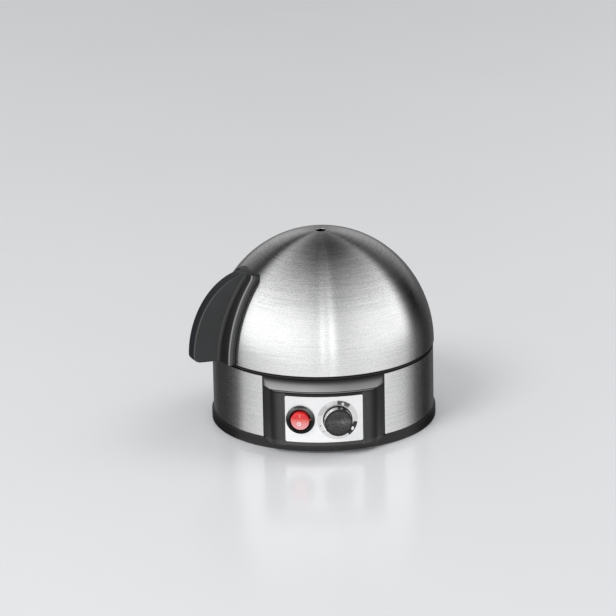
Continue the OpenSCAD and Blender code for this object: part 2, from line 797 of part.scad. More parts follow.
// Bright ring round the knob's side
module knob_ring() {
  low = skirt_low + skirt_t + 0.05;
  color("#e4e5e6") on_panel(dial_turn) translate([0, 0, low]) difference() {
    cylinder(r1 = knob_edge_r + 0.2, r2 = knob_edge_r, h = knob_side_z - low);
    translate([0, 0, -1]) cylinder(r = knob_core_r + 0.05, h = knob_h);
  }
}

// Dark cap on the knob's front, slightly crowned
module knob_cap() {
  crown = 0.35;
  color("#3a3c3e") on_panel(dial_turn) rotate_extrude() polygon(concat(
    [[0, knob_side_z + 0.02], [knob_edge_r - 0.1, knob_side_z + 0.02],
     [knob_edge_r - 0.1, knob_h - crown - 0.2]],
    [for (i = [0:6]) let (t = i / 6) [(knob_edge_r - 0.35) * (1 - t), knob_h - crown * (1 - t) * (1 - t)]]
  ));
}

// Circuit board behind the rotary control
module circuit_board() {
  color("#2f6b43") on_panel(dial_turn) difference() {
    translate([board_left, -board_h / 2, board_back]) cube([board_w, board_h, board_t]);
    for (spot = board_screw_spots)
      translate([spot[0], spot[1], board_back - 1]) cylinder(r = screw_r + 0.2, h = board_t + 2);
  }
}

// Screws that hold the circuit board to its bosses
module board_screws() {
  color("#9a9c9e") on_panel(dial_turn) for (spot = board_screw_spots)
    translate([spot[0], spot[1], board_back]) screw(board_t + 4.5);
}

// Relay that switches the heater
module relay() {
  color("#3563a0") on_panel(dial_turn)
    translate([5, -1, board_back - relay_size[2] - 0.05]) cube(relay_size);
}

// Capacitor on the circuit board
module capacitor() {
  color("#30363c") on_panel(dial_turn)
    translate([10, -11.5, board_back - capacitor_h - 0.05]) cylinder(d = capacitor_d, h = capacitor_h);
}

// Buzzer on the circuit board
module buzzer() {
  low = board_back - buzzer_h - 0.05;
  color("#1c1d1e") on_panel(dial_turn) translate([-4.5, -8.5, low]) difference() {
    cylinder(d = buzzer_d, h = buzzer_h);
    translate([0, 0, -1]) cylinder(d = buzzer_d / 6, h = 3);
  }
}

// Egg tray: deck on a skirt, a rim inside the lid, a dished collar round each hole, and two grips
module egg_tray() {
  section = [
    [0, deck_low], [tray_skirt_r - tray_t, deck_low], [tray_skirt_r - tray_t, tray_z],
    [rim_r, tray_z], [rim_r, rim_top - 0.5], [rim_r - 0.5, rim_top], [rim_r - rim_t, rim_top],
    [rim_r - rim_t, tray_z + tray_t], [tray_skirt_r, tray_z + tray_t],
    [tray_skirt_r, deck_top - 0.8], [tray_skirt_r - 0.8, deck_top], [0, deck_top]
  ];
  color("#2b2d2f") difference() {
    union() {
      rotate_extrude() polygon(section);
      for (spot = egg_spots) translate([spot[0], spot[1], deck_low - collar_h])
        cylinder(r1 = egg_r + 1.4, r2 = egg_r + collar_w, h = collar_h + 0.5);
      for (turn = [0, 180]) rotate([0, 0, turn]) grip();
    }
    for (spot = egg_spots) translate([spot[0], spot[1], 0]) {
      cylinder(r = egg_r, h = deck_top + 5);
      translate([0, 0, deck_top - 3.5]) cylinder(r1 = egg_r, r2 = egg_r + 2.4, h = 3.6);
    }
    for (i = [0:ring_eggs - 1]) let (p = polar(egg_ring_r * 0.59, i * 360 / ring_eggs))
      translate([p[0], p[1], deck_low - 1]) cylinder(r = 1.8, h = tray_t + 2);
  }
}

// Grip at the tray's edge, with a bead along its top
module grip() {
  half = asin(grip_w / 2 / tray_skirt_r);
  mid_r = tray_skirt_r - 2;
  rotate([0, 0, -half]) rotate_extrude(angle = 2 * half) {
    translate([mid_r - 1.1, deck_low + 0.5]) square([2.2, grip_h + tray_t - 0.5]);
    translate([mid_r, deck_top + grip_h]) circle(r = 1.7, $fn = 32);
  }
}

// Steel dome: an ellipse of revolution with a steam hole and a folded hem
module lid_dome() {
  hole_out = acos(steam_d / 2 / dome_r);
  hole_in = acos(steam_d / 2 / (dome_r - dome_t));
  hem_in = asin(hem_h / (dome_h - dome_t)) + 0.3;
  section = concat(
    [[dome_r - hem_w + 0.3, lid_z], [dome_r - 0.4, lid_z]],
    ellipse_arc(dome_r, dome_h, lid_z, 0.3, hole_out),
    ellipse_arc(dome_r - dome_t, dome_h - dome_t, lid_z, hole_in, hem_in),
    [[dome_r - hem_w + 0.3, lid_z + hem_h], [dome_r - hem_w, lid_z + hem_h - 0.4],
     [dome_r - hem_w, lid_z + 0.4]]
  );
  color("#c9cbcd") difference() {
    rotate_extrude() polygon(section);
    for (step = handle_screw_steps)
      on_dome(step) translate([0, 0, -2 * dome_t]) cylinder(r = screw_r + 0.3, h = 3 * dome_t);
  }
}

// Outer edge of the fin at a step of its arc: a quarter ellipse with a rounded heel
function fin_edge(z) =
  let (
    reach = fin_tip_r - fin_arc_r + fin_arc_r * sqrt(1 - pow(max(z - fin_mid, 0) / fin_arc_h, 2)),
    under = max(fin_low + fin_heel_r - z, 0)
  )
  reach - fin_heel_r + sqrt(fin_heel_r * fin_heel_r - under * under);

// Half thickness of the fin at a depth behind its outer edge
function fin_half(depth) = fin_edge_t / 2 + fin_draft * depth;

// How far the flange's sides have drawn in at a height, which rounds its two upper corners.
// The last slice stops short of the arc's end, so that it keeps a width
function corner_draw(z) =
  let (rise = 0.95 * max(z - handle_top + flange_corner, 0))
  flange_corner - sqrt(flange_corner * flange_corner - rise * rise);

// Points of a soft corner from one point to another, drawn towards the corner between them
function corner(from, mid, to, n = 5) =
  [for (i = [0:n]) let (t = i / n) from * pow(1 - t, 2) + mid * (2 * t * (1 - t)) + to * pow(t, 2)];

// One side of a level slice: from the fin's nose, down its drafted face, through the fillet
// and round the flange's edge to the dome
function handle_side(z) =
  let (
    inner = dome_at(z) + flange_gap,
    outer = dome_at(z, flange_t),
    nose = max(fin_edge(z), outer + fin_ridge),
    stand = nose - outer,
    bend = min(fin_round, stand * 0.4),
    sweep = min(fin_fillet, stand * 0.5),
    root = outer + sweep,
    foot_turn = asin((fin_half(stand) + sweep) / outer),
    side_turn = flange_half_turn - corner_draw(z) / outer * 180 / PI,
    edge_turn = flange_round / outer * 180 / PI
  )
  concat(
    arc([nose - bend, fin_half(bend) - bend], bend, 0, 80, 5),
    corner([root, fin_half(nose - root)], [outer, fin_half(stand)], polar(outer, foot_turn)),
    corner(polar(outer, side_turn - edge_turn), polar(outer, side_turn),
      polar(outer - min(flange_round, outer - inner - 0.8), side_turn)),
    [for (i = [0:3]) polar(inner, side_turn * (1 - i / 4))]
  );

// Level slice of the handle, closed by the mirrored side
function handle_slice(z) =
  let (side = handle_side(z), last = len(side) - 1)
  concat(
    [for (p = side) [p[0], p[1], z]],
    [[dome_at(z) + flange_gap, 0, z]],
    [for (i = [last:-1:0]) [side[i][0], -side[i][1], z]]
  );

// Lid handle: a flange that hugs the dome and a fin that stands out from it
module lid_handle() {
  heel_steps = [for (i = [0:5]) fin_low + fin_heel_r * (1 - cos(15 * i))];
  arc_steps = [for (i = [1:14]) fin_mid + fin_arc_h * sin(4 + 5.4 * i)];
  levels = concat(
    heel_steps,
    [for (z = arc_steps) if (z > fin_low + fin_heel_r && z < handle_top - 0.4) z],
    [handle_top]
  );
  color("#2b2d2f") difference() {
    rotate([0, 0, handle_azimuth]) skin([for (z = levels) handle_slice(z)]);
    for (step = handle_screw_steps)
      on_dome(step) translate([0, 0, -2]) cylinder(r = pilot_r, h = 16);
  }
}

// Screws from inside the dome into the handle
module handle_screws() {
  color("#9a9c9e") for (step = handle_screw_steps)
    on_dome(step) translate([0, 0, -dome_t - 0.1]) screw(13);
}

base_housing();
steel_band();
bottom_cover();
foot_pads();
cover_screws();
cord_gland();
upper_ring();
ring_screws();
heating_bowl();
bowl_seal();
clamp_ring();
clamp_screws();
heat_plate();
heating_tube();
thermostat();
thermal_fuse();
control_housing();
face_plate();
switch_body();
switch_terminals();
switch_rocker();
dial_control();
dial_nut();
dial_shaft();
knob();
knob_ring();
knob_cap();
circuit_board();
board_screws();
relay();
capacitor();
buzzer();
egg_tray();
lid_dome();
lid_handle();
handle_screws();
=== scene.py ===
import bmesh
import bpy
import numpy as np
from mathutils import Matrix, Vector


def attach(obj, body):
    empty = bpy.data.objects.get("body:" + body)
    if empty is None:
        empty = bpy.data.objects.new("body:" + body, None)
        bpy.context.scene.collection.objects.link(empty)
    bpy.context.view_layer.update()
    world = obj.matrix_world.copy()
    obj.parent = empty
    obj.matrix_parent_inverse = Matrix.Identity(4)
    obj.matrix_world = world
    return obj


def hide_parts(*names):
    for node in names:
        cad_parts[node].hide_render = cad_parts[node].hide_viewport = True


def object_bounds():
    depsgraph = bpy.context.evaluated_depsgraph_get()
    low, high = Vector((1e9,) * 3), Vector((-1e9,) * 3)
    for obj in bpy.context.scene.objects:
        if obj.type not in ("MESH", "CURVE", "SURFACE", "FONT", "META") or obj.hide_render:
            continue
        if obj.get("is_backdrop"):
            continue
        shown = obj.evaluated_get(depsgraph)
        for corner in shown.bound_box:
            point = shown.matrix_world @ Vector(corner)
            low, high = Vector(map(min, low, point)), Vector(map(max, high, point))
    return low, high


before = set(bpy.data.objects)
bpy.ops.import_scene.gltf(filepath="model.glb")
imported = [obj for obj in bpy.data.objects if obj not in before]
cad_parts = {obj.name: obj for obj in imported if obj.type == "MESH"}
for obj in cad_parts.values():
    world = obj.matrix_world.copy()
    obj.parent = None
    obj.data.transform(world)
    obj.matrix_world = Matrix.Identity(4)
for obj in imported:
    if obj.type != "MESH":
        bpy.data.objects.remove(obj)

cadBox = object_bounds()
scene = bpy.context.scene
mm = 0.001
uvPerMm = 0.01
inDegrees = 180 / np.pi


# Points from their coordinates, each an array or one number for all
def joined(*coordinates):
    return np.stack(np.broadcast_arrays(*coordinates), -1)


# Point at a radius and a turn, in radians
def polar(r, turn):
    return joined(r * np.cos(turn), r * np.sin(turn))


# Two coordinates turned by an angle, in radians
def turned(a, b, t):
    return a * np.cos(t) - b * np.sin(t), a * np.sin(t) + b * np.cos(t)


# Straight line from one value or point to another
def mix(first, last, t):
    return first + (last - first) * t


# Circular arc round a centre: the angle goes evenly from one value to the other, in degrees
def arc(cx, cy, r, start, end, n):
    return np.array([cx, cy]) + polar(r, np.radians(np.linspace(start, end, n + 1)))


# Soft corner between two ends, drawn towards the corner point: a parabola through three weighted points
def softCorner(p, corner, q, n):
    t = np.linspace(0, 1, n + 1)[:, None]
    p, corner, q = (np.asarray(v, float)[..., None, :] for v in (p, corner, q))
    return p * (1 - t) ** 2 + corner * 2 * t * (1 - t) + q * t ** 2


# Length along a row of points: the sum of the steps so far
def lengthAlong(points):
    return np.concatenate([[0], np.cumsum(np.linalg.norm(np.diff(points, axis=0), axis=1))])


# Surface of revolution: x = r cos a and y = r sin a over a profile of (r, z). U is the turn, V the profile's length
def revolve(profile, start=0, end=360, steps=240, at=(0, 0)):
    profile = np.vstack(profile)
    a = np.radians(np.linspace(start, end, steps + 1))[:, None]
    r, z = profile[None, :, 0], profile[None, :, 1]
    points = joined(at[0] + r * np.cos(a), at[1] + r * np.sin(a), z)
    return points, joined(a / (2 * np.pi), lengthAlong(profile) * uvPerMm)


# The same surface of revolution, with the profile closed on itself
def revolveLoop(profile, **span):
    profile = np.vstack(profile)
    return revolve([profile, profile[:1]], **span)


# Quads between neighbouring points of a grid: each joins four points; where keep is false there is no quad
def gridQuads(rows, cols, first, keep=None):
    corner = np.arange(rows - 1)[:, None] * cols + np.arange(cols - 1)[None, :] + first
    quads = np.stack([corner, corner + cols, corner + cols + 1, corner + 1], -1)
    return (quads.reshape(-1, 4) if keep is None else quads[keep]).tolist()


# One mesh, in millimetres, from grids and flat loops of points. Points that meet are merged
def makeMesh(name, parts, sharp, outward):
    points, uvs, faces, first = [], [], [], 0
    for grid, uv, *keep in parts:
        if grid.ndim == 3:
            faces += gridQuads(*grid.shape[:2], first, *keep)
        else:
            faces.append(list(range(first, first + len(grid))))
        points.append(grid.reshape(-1, 3))
        uvs.append(np.broadcast_to(uv, grid.shape[:-1] + (2,)).reshape(-1, 2))
        first += len(points[-1])
    mesh = bpy.data.meshes.new(name)
    mesh.from_pydata((np.concatenate(points) * mm).tolist(), [], faces)
    corner = np.empty(len(mesh.loops), np.int32)
    mesh.loops.foreach_get("vertex_index", corner)
    mesh.uv_layers.new(name="UVMap").data.foreach_set("uv", np.concatenate(uvs)[corner].ravel())
    bm = bmesh.new()
    bm.from_mesh(mesh)
    bmesh.ops.remove_doubles(bm, verts=bm.verts, dist=0.002 * mm)
    bmesh.ops.delete(bm, geom=[v for v in bm.verts if not v.link_faces], context="VERTS")
    bmesh.ops.recalc_face_normals(bm, faces=bm.faces)
    if outward is not None:  # an open sheet: its faces look this way
        if sum(f.normal.dot(outward) * f.calc_area() for f in bm.faces) < 0:
            bmesh.ops.reverse_faces(bm, faces=bm.faces)
    bm.to_mesh(mesh)
    bm.free()
    mesh.shade_smooth()
    mesh.set_sharp_from_angle(angle=np.radians(sharp))
    return mesh


# A finished piece: it has a finish, rides on a body and stands for a CAD node. A wall and an edge are in millimetres
def makePiece(name, parts, body, slot, node, sharp=35, outward=None, wall=None, edge=None):
    piece = bpy.data.objects.new(name, makeMesh(name, parts, sharp, outward))
    scene.collection.objects.link(piece)
    piece.data.materials.append(finishes[slot])
    if wall:
        solid = piece.modifiers.new("wall", "SOLIDIFY")
        solid.thickness, solid.offset, solid.use_even_offset = wall * mm, -1, True
    if edge:
        bevel = piece.modifiers.new("edge", "BEVEL")
        bevel.width, bevel.segments, bevel.limit_method = edge * mm, 3, "ANGLE"
        bevel.angle_limit, bevel.harden_normals = np.radians(50), True
    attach(piece, body)
    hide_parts(node)
    print("made:", name)


# Shader node: values among the inputs are linked, and plain numbers and colours are set
def addNode(tree, kind, inputs=None, **settings):
    node = tree.nodes.new("ShaderNode" + kind)
    for key, value in settings.items():
        setattr(node, key, value)
    for key, value in (inputs or {}).items():
        feed(node.inputs[key], value)
    return node


# Links a value to an input socket, or sets a plain number or colour on it
def feed(socket, value):
    if isinstance(value, Value):
        value.tree.links.new(value.socket, socket)
    else:
        socket.default_value = value


# A value that a node gives out. Arithmetic with other values or numbers adds Math nodes
class Value:
    def __init__(self, socket):
        self.socket, self.tree = socket, socket.id_data

    def maths(self, operation, *others):
        return made(self.tree, "Math", dict(enumerate((self, *others))), operation=operation)

    def __add__(self, other):
        return self.maths("ADD", other)

    def __sub__(self, other):
        return self.maths("SUBTRACT", other)

    def __mul__(self, other):
        return self.maths("MULTIPLY", other)


# What a new node gives out
def made(tree, kind, inputs=None, output=0, **settings):
    return Value(addNode(tree, kind, inputs, **settings).outputs[output])


# The three parts of a vector
def partsOf(vector):
    return [Value(socket) for socket in addNode(vector.tree, "SeparateXYZ", {0: vector}).outputs]


# Four-part colour from three parts or from one grey
def colour(value):
    return (*value, 1) if hasattr(value, "__len__") else (value, value, value, 1)


# Colour ramp over a value, from pairs of place and colour or grey
def ramp(value, stops):
    node = addNode(value.tree, "ValToRGB", {"Fac": value})
    while len(node.color_ramp.elements) < len(stops):
        node.color_ramp.elements.new(0.5)
    for element, (place, shade) in zip(node.color_ramp.elements, stops):
        element.position, element.color = place, colour(shade)
    return Value(node.outputs["Color"])


# Value that goes from one number to another while the input goes from low to high
def between(value, low, high, first=0.0, last=1.0):
    inputs = {"Value": value, "From Min": low, "From Max": high, "To Min": first, "To Max": last}
    return made(value.tree, "MapRange", inputs)


# Value that goes from one number to another over the usual span of a noise
def spread(value, first, last):
    return between(value, 0.3, 0.7, first, last)


# 1 inside a range of a value and 0 outside it, with soft ends: a rise times a fall
def inside(value, low, high, soft):
    return between(value, low - soft, low + soft) * between(value, high - soft, high + soft, 1.0, 0.0)


# Two colours mixed by a share
def mixColour(share, first, second):
    node = addNode(share.tree, "Mix", {0: share}, data_type="RGBA")
    for socket, value in zip(node.inputs[6:8], (first, second)):
        feed(socket, value if isinstance(value, Value) else colour(value))
    return Value(node.outputs[2])


# Fractal noise over a vector
def noise(vector, scale, detail=2.0, rough=0.55):
    inputs = {"Vector": vector, "Scale": scale, "Detail": detail, "Roughness": rough}
    return made(vector.tree, "TexNoise", inputs, "Fac")


# Root of the sum of two squares
def distance(dx, dy):
    return (dx * dx + dy * dy).maths("SQRT")


# Turn whose sine goes with the first value and whose cosine goes with the second, in degrees
def turnOf(sine, cosine):
    return sine.maths("ARCTAN2", cosine) * inDegrees


# Empty finish with its shader, and the coordinates in the piece's own space and on its UV map
def newFinish(name, **shader):
    finish = bpy.data.materials.new(name)
    finish.use_nodes = True
    tree = finish.node_tree
    tree.nodes.clear()
    surface = addNode(tree, "BsdfPrincipled", {key.replace("_", " "): value for key, value in shader.items()})
    addNode(tree, "OutputMaterial", {"Surface": Value(surface.outputs[0])})
    coords = addNode(tree, "TexCoord").outputs
    return finish, surface, Value(coords["Object"]), Value(coords["UV"])


# Links a finish's colour, its roughness and its relief, which is a height and a depth in millimetres
def dress(finish, surface, shade, rough, height, depth):
    relief = made(shade.tree, "Bump", {"Height": height, "Distance": depth * mm, "Strength": 1.0})
    for key, value in (("Base Color", shade), ("Roughness", rough), ("Normal", relief)):
        feed(surface.inputs[key], value)
    return finish


# Scratches are pairs of millimetres along and across. Crown and the seam's painted shadow are spans of height, in
# metres
brushedLook = {
    "pull": 0.82, "pullTurn": 0.25, "scratches": [(26, 0.4), (40, 0.9)], "fine": 0.66, "specks": 0.14, "clouds": 0.2,
    "dark": (0.64, 0.645, 0.65), "pale": (0.86, 0.86, 0.86), "rough": (0.19, 0.26), "depth": 0.010,
    "crown": (0.122, 0.149, 0.012), "crownGain": 4.4, "seam": (0.0597, 0.0634, 0.0002), "seamShadowTone": 0.03,
}
bowlLook = {**brushedLook, "seam": (0.0, 0.0, 0.0002), "dark": (0.52, 0.52, 0.51), "pale": (0.66, 0.66, 0.65)}


# Steel brushed round the axis: noise stretched along the turn and narrow along the profile, over slow clouds of shade.
# The scratches stand out more below the lid's crown, by the height, and a painted shadow darkens the edges at the lid's
# seam
def brushedSteel(name, look):
    finish, surface, place, uv = newFinish(
        name, Metallic=1.0, Anisotropic=look["pull"], Anisotropic_Rotation=look["pullTurn"])
    x, y, z = partsOf(place)
    across = partsOf(uv)[1]
    layers = []
    for length, width in look["scratches"]:
        stretched = made(place.tree, "CombineXYZ", {
            0: x * (1000 / length), 1: y * (1000 / length), 2: across * (1 / uvPerMm / width)})
        layers.append(noise(stretched, 1.0, 2.0, 0.6))
    lines = layers[0] * look["fine"] + layers[1] * (1 - look["fine"])
    lines = lines + spread(noise(place, 1000.0, 1.0), -look["specks"], look["specks"])
    gain = inside(z, *look["crown"]) * look["crownGain"] + 1.0
    shade = ramp((lines - 0.5) * gain + 0.5, [(0.3, look["dark"]), (0.7, look["pale"])])
    shade = mixColour(spread(noise(place, 22.0), 0.0, look["clouds"]), shade, look["dark"])
    # painted shadow on the edges at the seam between the lid and the band
    shade = mixColour(inside(z, *look["seam"]), shade, look["seamShadowTone"])
    feed(surface.inputs["Tangent"], made(place.tree, "Tangent", direction_type="UV_MAP", uv_map="UVMap"))
    return dress(finish, surface, shade, between(layers[0], 0.25, 0.75, *look["rough"]), layers[1], look["depth"])


# Moulded plastic: a base colour with slow clouds, a spark-eroded grain in the relief and in the gloss. Where there is a
# paint, it changes the colour by place
def mouldedPlastic(name, dark, pale, rough, size, depth, shine=0.4, paint=None):
    finish, surface, place, uv = newFinish(name, Specular_IOR_Level=shine)
    clouds = noise(place, 45.0, 3.0)
    grain = noise(place, 1000 / size, 2.0, 0.5)
    shade = ramp(clouds, [(0.3, dark), (0.7, pale)])
    if paint:
        shade = paint(place, uv, shade, grain)
    return dress(finish, surface, shade, spread(grain * 0.6 + clouds * 0.4, *rough), grain, depth)


# Metal with a matt grain and slow clouds
def plainMetal(name, dark, pale, rough, size, depth):
    finish, surface, place, _ = newFinish(name, Metallic=1.0)
    grain = noise(place, 1000 / size, 3.0)
    mixed = noise(place, 60.0, 3.0) * 0.6 + grain * 0.4
    return dress(finish, surface, ramp(mixed, [(0.35, dark), (0.65, pale)]), spread(grain, *rough), grain, depth)


controls = {"faceRadius": 98.2, "plateZ": 29.8, "switchTurn": -11.0, "dialTurn": 6.3}


# A control's own axes, in millimetres: right is x cos t + y sin t for its turn t, out is x sin t - y cos t
def faceAxes(place, turn):
    x, y, z = partsOf(place)
    c, s = 1000 * np.cos(np.radians(turn)), 1000 * np.sin(np.radians(turn))
    return x * c + y * s, z * 1000.0 - controls["plateZ"], x * s - y * c


# The scale round the knob: radii in mm, marks as first and last clock degree, spots as radius, clock degree and size
dialScale = {
    "ring": (12.9, 16.2), "sink": 0.4, "ringShade": 0.76, "rim": (15.85, 16.05), "rimShade": 0.60,
    "marks": [(0, 41, 0.14), (99, 145, 0.045), (286, 324, 0.60)],
    "spots": [(13.7, 18.5, 1.15, 1.0), (14.2, 123.5, 1.25, 1.0), (14.3, 251, 0.55, 0.28), (14.8, 230, 0.5, 0.28)],
}


# Tones of the plate's mottle, and the shadow over its upper left: a span, in mm, of the height plus lean times right
plateTones = {
    "metal": [(0.3, (0.90, 0.905, 0.92)), (0.7, (0.97, 0.97, 0.98))],
    "shadow": (10.0, 34.0, 0.0, 0.30), "shadowLean": -0.5, "shadowShade": 0.55, "rough": (0.32, 0.42),
}


# Silver plate: satin metal with the dial's scale printed round the knob. The scale is drawn from the distance to the
# knob's axis and from the clock angle round it
def silverPlate(name):
    finish, surface, place, _ = newFinish(name, Metallic=0.75, Specular_IOR_Level=0.5)
    right, up, _ = faceAxes(place, controls["dialTurn"])
    low = up + dialScale["sink"]
    away, clock = distance(right, low), (turnOf(right, low) + 360.0).maths("MODULO", 360.0)
    shadow = between(right * plateTones["shadowLean"] + up, *plateTones["shadow"])
    shade = mixColour(shadow, ramp(noise(place, 70.0), plateTones["metal"]), plateTones["shadowShade"])
    ring = inside(away, *dialScale["ring"], 0.15)
    shade = mixColour(ring, shade, dialScale["ringShade"])
    shade = mixColour(ring * between(away, *dialScale["rim"]) * 0.7, shade, dialScale["rimShade"])
    for start, end, tone in dialScale["marks"]:
        shade = mixColour(ring * inside(clock, start, end, 0.7), shade, tone)
    for far, turn, size, tone in dialScale["spots"]:
        dx, dy = right - far * np.sin(np.radians(turn)), (low - far * np.cos(np.radians(turn))) * 0.85
        shade = mixColour(between(distance(dx, dy), size - 0.12, size + 0.12, 1.0, 0.0), shade, tone)
    grain = noise(place, 2600.0)
    return dress(finish, surface, shade, spread(grain, *plateTones["rough"]), grain, 0.004)


# Colours of the rocker, its pressed half's painted reflection, and where its marks lie from its middle in millimetres
rockerTones = {
    "red": [(0.3, (0.88, 0.026, 0.032)), (0.7, (1.0, 0.046, 0.050))],
    "pressed": [(0.0, (0.98, 0.45, 0.47)), (0.6, (0.95, 0.32, 0.34)), (1.0, (0.92, 0.19, 0.15))],
    "bar": ((-0.5, 0.7), (2.6, 6.0)), "barColour": (1.0, 0.30, 0.22), "loopAt": (-0.8, -2.95), "loop": (0.88, 1.62),
}


# Red rocker: clear red plastic with a painted pale pink reflection on its lower, pressed half, and the white marks I
# above and O below, drawn from the distance to the rocker's middle
def redRocker(name):
    finish, surface, place, _ = newFinish(name, Coat_Weight=0.25, Coat_Roughness=0.15, Specular_IOR_Level=0.4)
    right, up, _ = faceAxes(place, controls["switchTurn"])
    clouds = noise(place, 300.0)
    # painted pale pink reflection over the lower, pressed half
    pressed = ramp(between(up, -7.0, 0.0), rockerTones["pressed"])
    shade = mixColour(between(up, 0.2, 1.7, 1.0, 0.0), ramp(clouds, rockerTones["red"]), pressed)
    wide, high = rockerTones["bar"]
    bar = inside(right, *wide, 0.1) * inside(up, *high, 0.1)
    shade = mixColour(bar * 0.85, shade, rockerTones["barColour"])
    loop = distance(right - rockerTones["loopAt"][0], up - rockerTones["loopAt"][1])
    shade = mixColour(inside(loop, *rockerTones["loop"], 0.1), shade, 1.0)
    return dress(finish, surface, shade, spread(clouds, 0.28, 0.38), noise(place, 900.0), 0.01)


# Circuit board: green lacquer over copper tracks, drawn from the distance to the edges of random cells
def boardGreen(name):
    finish, surface, place, _ = newFinish(name, Coat_Weight=0.4, Coat_Roughness=0.15)
    cells = made(place.tree, "TexVoronoi", {"Vector": place, "Scale": 420.0}, feature="DISTANCE_TO_EDGE")
    tracks = between(cells, 0.06, 0.1, 1.0, 0.0)
    shade = mixColour(tracks, (0.012, 0.11, 0.035), (0.05, 0.24, 0.08))
    return dress(finish, surface, shade, between(cells, 0.0, 0.4, 0.35, 0.5), tracks, 0.03)


# Tones of the panel, mostly painted highlight and shade, with their places: R from the axis and Z up, in millimetres,
# and turns from the front, in degrees
panelTones = {
    # the side ramp across the front: a painted highlight near the plate and painted shade on the upright corners
    "sideLightTurn": (16.0, 32.0), "side": [
        (0.0, 0.03), (0.13, 0.03), (0.15, 0.11), (0.25, 0.085), (0.38, 0.06), (0.5, 0.012), (0.57, 0.001),
        (0.62, 0.008), (0.7, 0.032), (1.0, 0.024)],
    # chin is a painted highlight along the chin, speck a grain
    "frontZ": (7.0, 51.4), "speck": 0.01, "chinZ": (7.6, 10.6), "chin": 0.11,
    # shelf is a painted reflection, pale at the lower edge and dark under the lid, with painted shadow towards its
    # right
    "shelfR": (89.5, 96.6), "shelf": [
        (0.0, 0.010), (0.13, 0.02), (0.24, 0.14), (0.38, 0.32), (0.6, 0.42), (0.92, 0.47), (0.96, 0.60), (1.0, 0.60)],
    "shelfZ": (52.25, 52.7), "shelfEnd": (96.4, 96.6), "shelfShadeTurn": (-8.0, 10.0), "shelfDark": 0.03,
    # groove is painted shade in the groove, bead a painted highlight on the bead
    "grooveR": (96.5, 97.2), "grooveShadeZ": (51.8, 52.5), "groove": 0.002,
    "beadR": (97.1, 97.4), "beadZ": (51.9, 52.8), "bead": 0.20,
}


# Panel's paint, mostly painted light: the dished shelf is painted grey as a reflection, palest along its lower edge as
# a painted highlight, with painted shadow under the lid and towards its right. The groove below it has painted shade
# and the bead a painted highlight. Across the front, a painted highlight pales it towards the plate and along the chin,
# and painted shade turns its two upright corners black. Places are read from the distance to the axis, the height and
# the turn from the front
def panelPaint(place, uv, shade, grain):
    tones = panelTones
    x, y, z = partsOf(place)
    r, z, turn = distance(x, y) * 1000.0, z * 1000.0, turnOf(x, y * -1.0)
    side = between(turn.maths("ABSOLUTE"), *tones["sideLightTurn"])
    # painted highlight along the chin and painted light and shade across the front
    chin = inside(z, *tones["chinZ"], 0.5) * between(side, 0.1, 0.45, 1.0, 0.3)
    front = mixColour(chin, ramp(side, tones["side"]), tones["chin"])
    front = mixColour(spread(grain, 0.0, 0.35), front, tones["speck"])
    shade = mixColour(inside(z, *tones["frontZ"], 0.3), shade, front)
    # painted reflection and painted shadow on the shelf
    shelfPaintedLight = ramp(between(r, *tones["shelfR"]), tones["shelf"])
    shelfPaintedLight = mixColour(between(turn, *tones["shelfShadeTurn"], 0.0, 0.4), shelfPaintedLight, tones["shelfDark"])
    shelfPaintedLight = mixColour(spread(grain, 0.0, 0.15), shelfPaintedLight, tones["shelfDark"])
    shade = mixColour(between(z, *tones["shelfZ"]) * between(r, *tones["shelfEnd"], 1.0, 0.0), shade, shelfPaintedLight)
    # painted shade in the groove and a painted highlight on the bead
    groove = inside(r, *tones["grooveR"], 0.1) * inside(z, *tones["grooveShadeZ"], 0.12)
    bead = between(r, *tones["beadR"]) * inside(z, *tones["beadZ"], 0.2)
    return mixColour(bead, mixColour(groove, shade, tones["groove"]), tones["bead"])


# Painted light across the handle, as from, to, softness, share and tone: a flat tone on the nose, painted highlights on
# the creases and the flange's round, and painted shade on the flange's face. The nose ends at 0.1, the flange's round
# is near 0.3
handleCreaseLight = [
    (-1.0, 0.09, 0.01, 1.0, (0.020, 0.021, 0.025)), (0.084, 0.092, 0.003, 1.0, 0.15), (0.202, 0.205, 0.0015, 1.0, 0.08),
    (0.302, 0.316, 0.003, 1.0, 0.28), (0.317, 0.34, 0.004, 1.0, 0.07), (0.21, 0.298, 0.003, 0.8, 0.011)]


# Handle's paint: painted highlights on the creases and painted shade on the flange's face, by U, the place round a
# slice
def handlePaint(place, uv, shade, grain):
    u = partsOf(uv)[0]
    # painted highlights and painted shade, band by band
    for low, high, soft, share, tone in handleCreaseLight:
        shade = mixColour(inside(u, low, high, soft) * share, shade, tone)
    return mixColour(between(grain, 0.35, 0.75, 0.0, 0.2), shade, 0.01)


# Switch's paint: a painted reflection makes the upper half of the bezel grey and leaves the lower half black, by the
# height above its middle, and the mouth round the rocker is painted shade with a red cast from the rocker
def switchPaint(place, uv, shade, grain):
    right, up, _ = faceAxes(place, controls["switchTurn"])
    topReflection = ramp(between(up, -9.0, 11.0), [(0.0, 0.002), (0.45, 0.012), (0.75, 0.12), (0.92, 0.19), (1.0, 0.04)])
    # painted red-cast shade in the mouth, and the painted reflection above it
    return mixColour(between(distance(right, up), 8.2, 8.9), (0.020, 0.004, 0.005), topReflection)


# Face of the knob: its radius and depth in millimetres, its painted reflection from the bottom up, and its painted
# highlight, darker rim and mottle
knobTones = {
    "face": (10.9, 10.4), "out": (106.1, 106.3), "spun": [
        (0.0, 0.015), (0.15, 0.06), (0.42, 0.10), (0.58, 0.14), (0.66, 0.07), (0.82, 0.09), (1.0, 0.10)],
    "sheen": 0.26, "rimSpan": (8.8, 10.4, 0.0, 0.75), "rim": 0.015, "mottle": 0.02,
}


